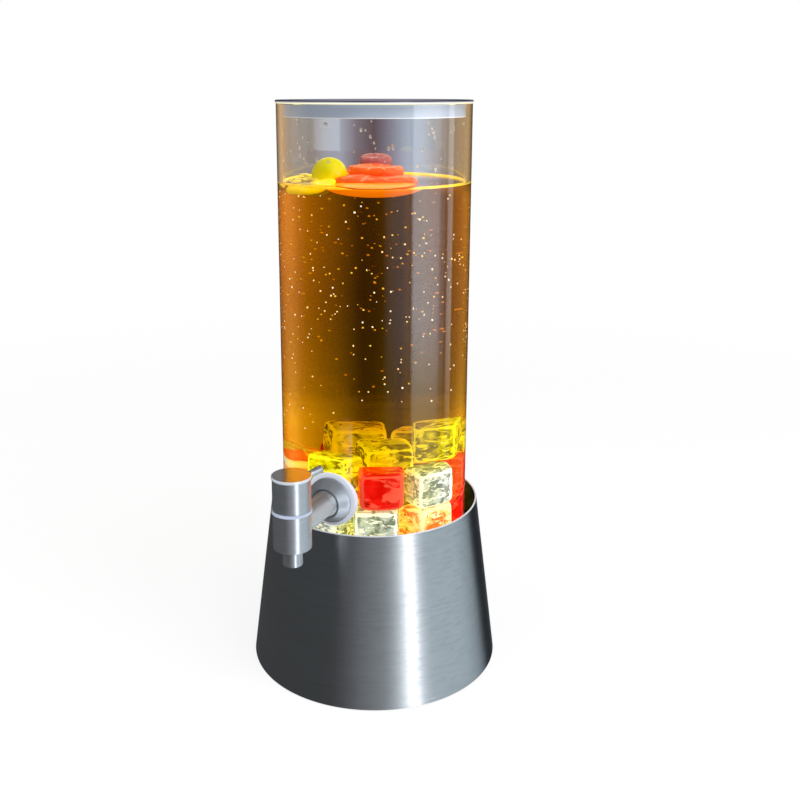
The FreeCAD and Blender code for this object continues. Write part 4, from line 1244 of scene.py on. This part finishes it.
def fruit_skin(name, colour, paler, pores, glow, pith=ORANGE_PITH):
    """The skin or flesh of fruit, paler where a slice's "wall" value marks a segment's wall, and
    glowing with painted light as strong as glow.
    """
    fruit = Finish(bpy.data.materials.new(name))
    spots = fruit.noise(pores)
    clouds = fruit.noise(pores * FRUIT_CLOUDS)
    walls = fruit.node("ShaderNodeAttribute", {"attribute_name": "wall"})["Fac"]
    shade = fruit.mix(clouds, (*colour, 1), (*paler, 1))
    return fruit.shade(
        fruit.glowing(
            fruit.mix(PITH_SHOWS * walls, shade, (*pith, 1)),
            glow,
            Roughness=0.36 + 0.2 * spots,
            Coat_Weight=FRUIT_COAT,
            Normal=fruit.bump(spots, PORE_DEPTH, PORES_SHOW),
        )
    )


def slice_of(name, place, radius, thickness, lean, finish):
    """A round slice of fruit with a soft rim and slightly sunken walls between its segments."""
    shape = bmesh.new()
    bmesh.ops.create_uvsphere(shape, u_segments=SLICE_TURNS, v_segments=SLICE_RINGS, radius=1.0)
    wall_layer = shape.verts.layers.float.new("wall")
    for vert in shape.verts:
        around = math.atan2(vert.co.y, vert.co.x)
        level = math.asin(max(-1.0, min(1.0, vert.co.z))) / (math.pi / 2)
        reach = 1 - level**2
        rise = math.copysign(math.sqrt(1 - reach**SLICE_RIM), level)
        flesh = min(1.0, SEGMENT_WALL * abs(math.sin(around * SEGMENTS / 2)) * reach)
        wall = (1 - flesh) * min(1.0, max(0.0, (PEEL_FROM - reach) / PEEL_BLEND))
        vert[wall_layer] = wall
        vert.co = Vector(
            (
                math.cos(around) * reach * radius * MM,
                math.sin(around) * reach * radius * MM,
                rise * (1 - SEGMENT_SUNK * wall) * 0.5 * thickness * MM,
            )
        )
    for vert in shape.verts:
        bulge = noise.noise(vert.co * SLICE_RAGGED_SCALE + Vector((radius, 0, 0)))
        ragged = 1 + SLICE_RAGGED * bulge
        placed = Vector((vert.co.x * ragged, vert.co.y * ragged, vert.co.z))
        warp = noise.noise(vert.co * SLICE_WARP_SCALE + Vector((0, radius, 0)))
        placed.z = placed.z + SLICE_WARP * warp
        placed.rotate(Euler((math.radians(lean[0]), math.radians(lean[1]), CAMERA_SIDE)))
        vert.co = kept_inside(placed + place, FRUIT_CLEAR)
    return finished(name, shape, "vessel", finish)


# Painted light: every fruit finish glows by its last number. The orange half and the lemon slice,
# lower in the drink, glow most, painted light from the lamps below; the orange half's finish is a
# brighter lit copy of the orange flesh.
orange_flesh = fruit_skin("orange_flesh", (0.80, 0.07, 0.0), (0.92, 0.13, 0.01), 500, 0.3)
orange_flesh_lit = fruit_skin("orange_flesh_lit", (0.95, 0.18, 0.0), (1.0, 0.26, 0.0), 300, 1.0)
lemon_skin = fruit_skin("lemon_skin", (0.64, 0.58, 0.0), (0.80, 0.72, 0.0), 400, 0.25)
lemon_flesh_lit = fruit_skin(
    "lemon_flesh_lit", (1.0, 0.62, 0.0), (1.0, 0.74, 0.0), 400, 0.6, LEMON_PITH
)
red_flesh = fruit_skin(
    "red_flesh", (0.40, 0.08, 0.09), (0.48, 0.12, 0.12), 450, 0.12, RED_PITH
)
pulp_skin = fruit_skin("pulp", (1.0, 0.72, 0.02), (1.0, 0.85, 0.2), 600, 0.22)
half_shape = bmesh.new()
bmesh.ops.create_uvsphere(half_shape, u_segments=64, v_segments=32, radius=1.0)
for vert in half_shape.verts:
    half_depth = HALF_DEPTH if vert.co.z < 0 else HALF_TOP
    vert.co = Vector((vert.co.x * HALF_R, vert.co.y * HALF_R, vert.co.z * half_depth))
    vert.co = kept_inside(vert.co + spot(0.0, 20.0, 289.3), FRUIT_CLEAR)
finished("orange_half", half_shape, "vessel", orange_flesh_lit)
slice_of("orange_slice", spot(0.0, 4.0, 291.0), 23.4, 5.4, (0, 0), orange_flesh)
slice_of("orange_slice_upper", spot(1.0, -6.0, 295.5), 16.3, 5.2, (3, 2), orange_flesh)
slice_of("red_slice", spot(1.0, -30.0, 298.2), 9.8, 8.0, (6, 0), red_flesh)
slice_of("lemon_slice", spot(-32.5, 16.0, 288.0), 11.5, 4.0, (6, -8), lemon_flesh_lit)
lemon_shape = bmesh.new()
bmesh.ops.create_uvsphere(lemon_shape, u_segments=36, v_segments=24, radius=LEMON_R)
for vert in lemon_shape.verts:
    pole = abs(vert.co.z) / LEMON_R
    vert.co.z = vert.co.z * (1 + LEMON_TIP * pole**6)
    vert.co.rotate(Euler(LEMON_LIES))
    vert.co = vert.co + spot(-25.5, 0.0, 293.0)
finished("lemon", lemon_shape, "vessel", lemon_skin)
random.seed(5)
pulp_shape = bmesh.new()
for scrap in range(SCRAP_COUNT):
    scrap_size = random.uniform(*SCRAP_SIZES) * MM
    scrap_spot = spot(*(random.uniform(*band) for band in SCRAP_BANDS))
    scrap_place = kept_inside(scrap_spot, SCRAP_CLEAR)
    made = bmesh.ops.create_icosphere(pulp_shape, subdivisions=2, radius=scrap_size)["verts"]
    for vert in made:
        bump = noise.noise(vert.co * SCRAP_BUMP_SCALE + Vector((scrap, 0, 0)))
        flattened = Vector((vert.co.x * SCRAP_LONG, vert.co.y, vert.co.z * SCRAP_FLAT))
        vert.co = flattened * (1 + SCRAP_BUMPS * bump)
        vert.co.rotate(Euler((0, 0, scrap)))
        vert.co = vert.co + scrap_place
finished("pulp_scraps", pulp_shape, "vessel", pulp_skin)

# Droplets: beads of water that cling to the tube's inside above the drink. Each is a small round
# bead pressed flat on the wall and a little longer down than across.
DROPLET_COUNT = 110
DROPLET_SIZES = (0.3, 1.0)
DROPLET_LARGEST = 1.1 * MM
DROPLET_BAND = (297, 325)
BEAD_SHAPE = (0.45, 1, 1.25, 1)
BEAD_CLEAR = 0.02 * MM
WATER_IOR = 1.33
WATER_CLEARNESS = 0.85
WATER_PATCHES = 200.0
random.seed(8)
droplet_shape = bmesh.new()
for _ in range(DROPLET_COUNT):
    droplet_size = random.uniform(*DROPLET_SIZES) ** 2 * DROPLET_LARGEST
    droplet_turn = random.uniform(0, math.tau)
    droplet_height = random.uniform(*DROPLET_BAND) * MM
    bead = Matrix.Rotation(droplet_turn, 4, "Z")
    bead = bead @ Matrix.Translation((BORE_R, 0, droplet_height)) @ Matrix.Diagonal(BEAD_SHAPE)
    bmesh.ops.create_icosphere(droplet_shape, subdivisions=2, radius=droplet_size, matrix=bead)
for vert in droplet_shape.verts:
    vert.co = kept_inside(vert.co, BEAD_CLEAR)
droplet_finish = Finish(bpy.data.materials.new("water_bead"))
water_bead = droplet_finish.shade(
    droplet_finish.surface(
        Base_Color=WHITE,
        Roughness=0.02 + 0.05 * droplet_finish.noise(WATER_PATCHES, detail=1.0),
        IOR=WATER_IOR,
        Transmission_Weight=WATER_CLEARNESS,
    )
)
finished("droplets", droplet_shape, "vessel", water_bead, ALL_SMOOTH)
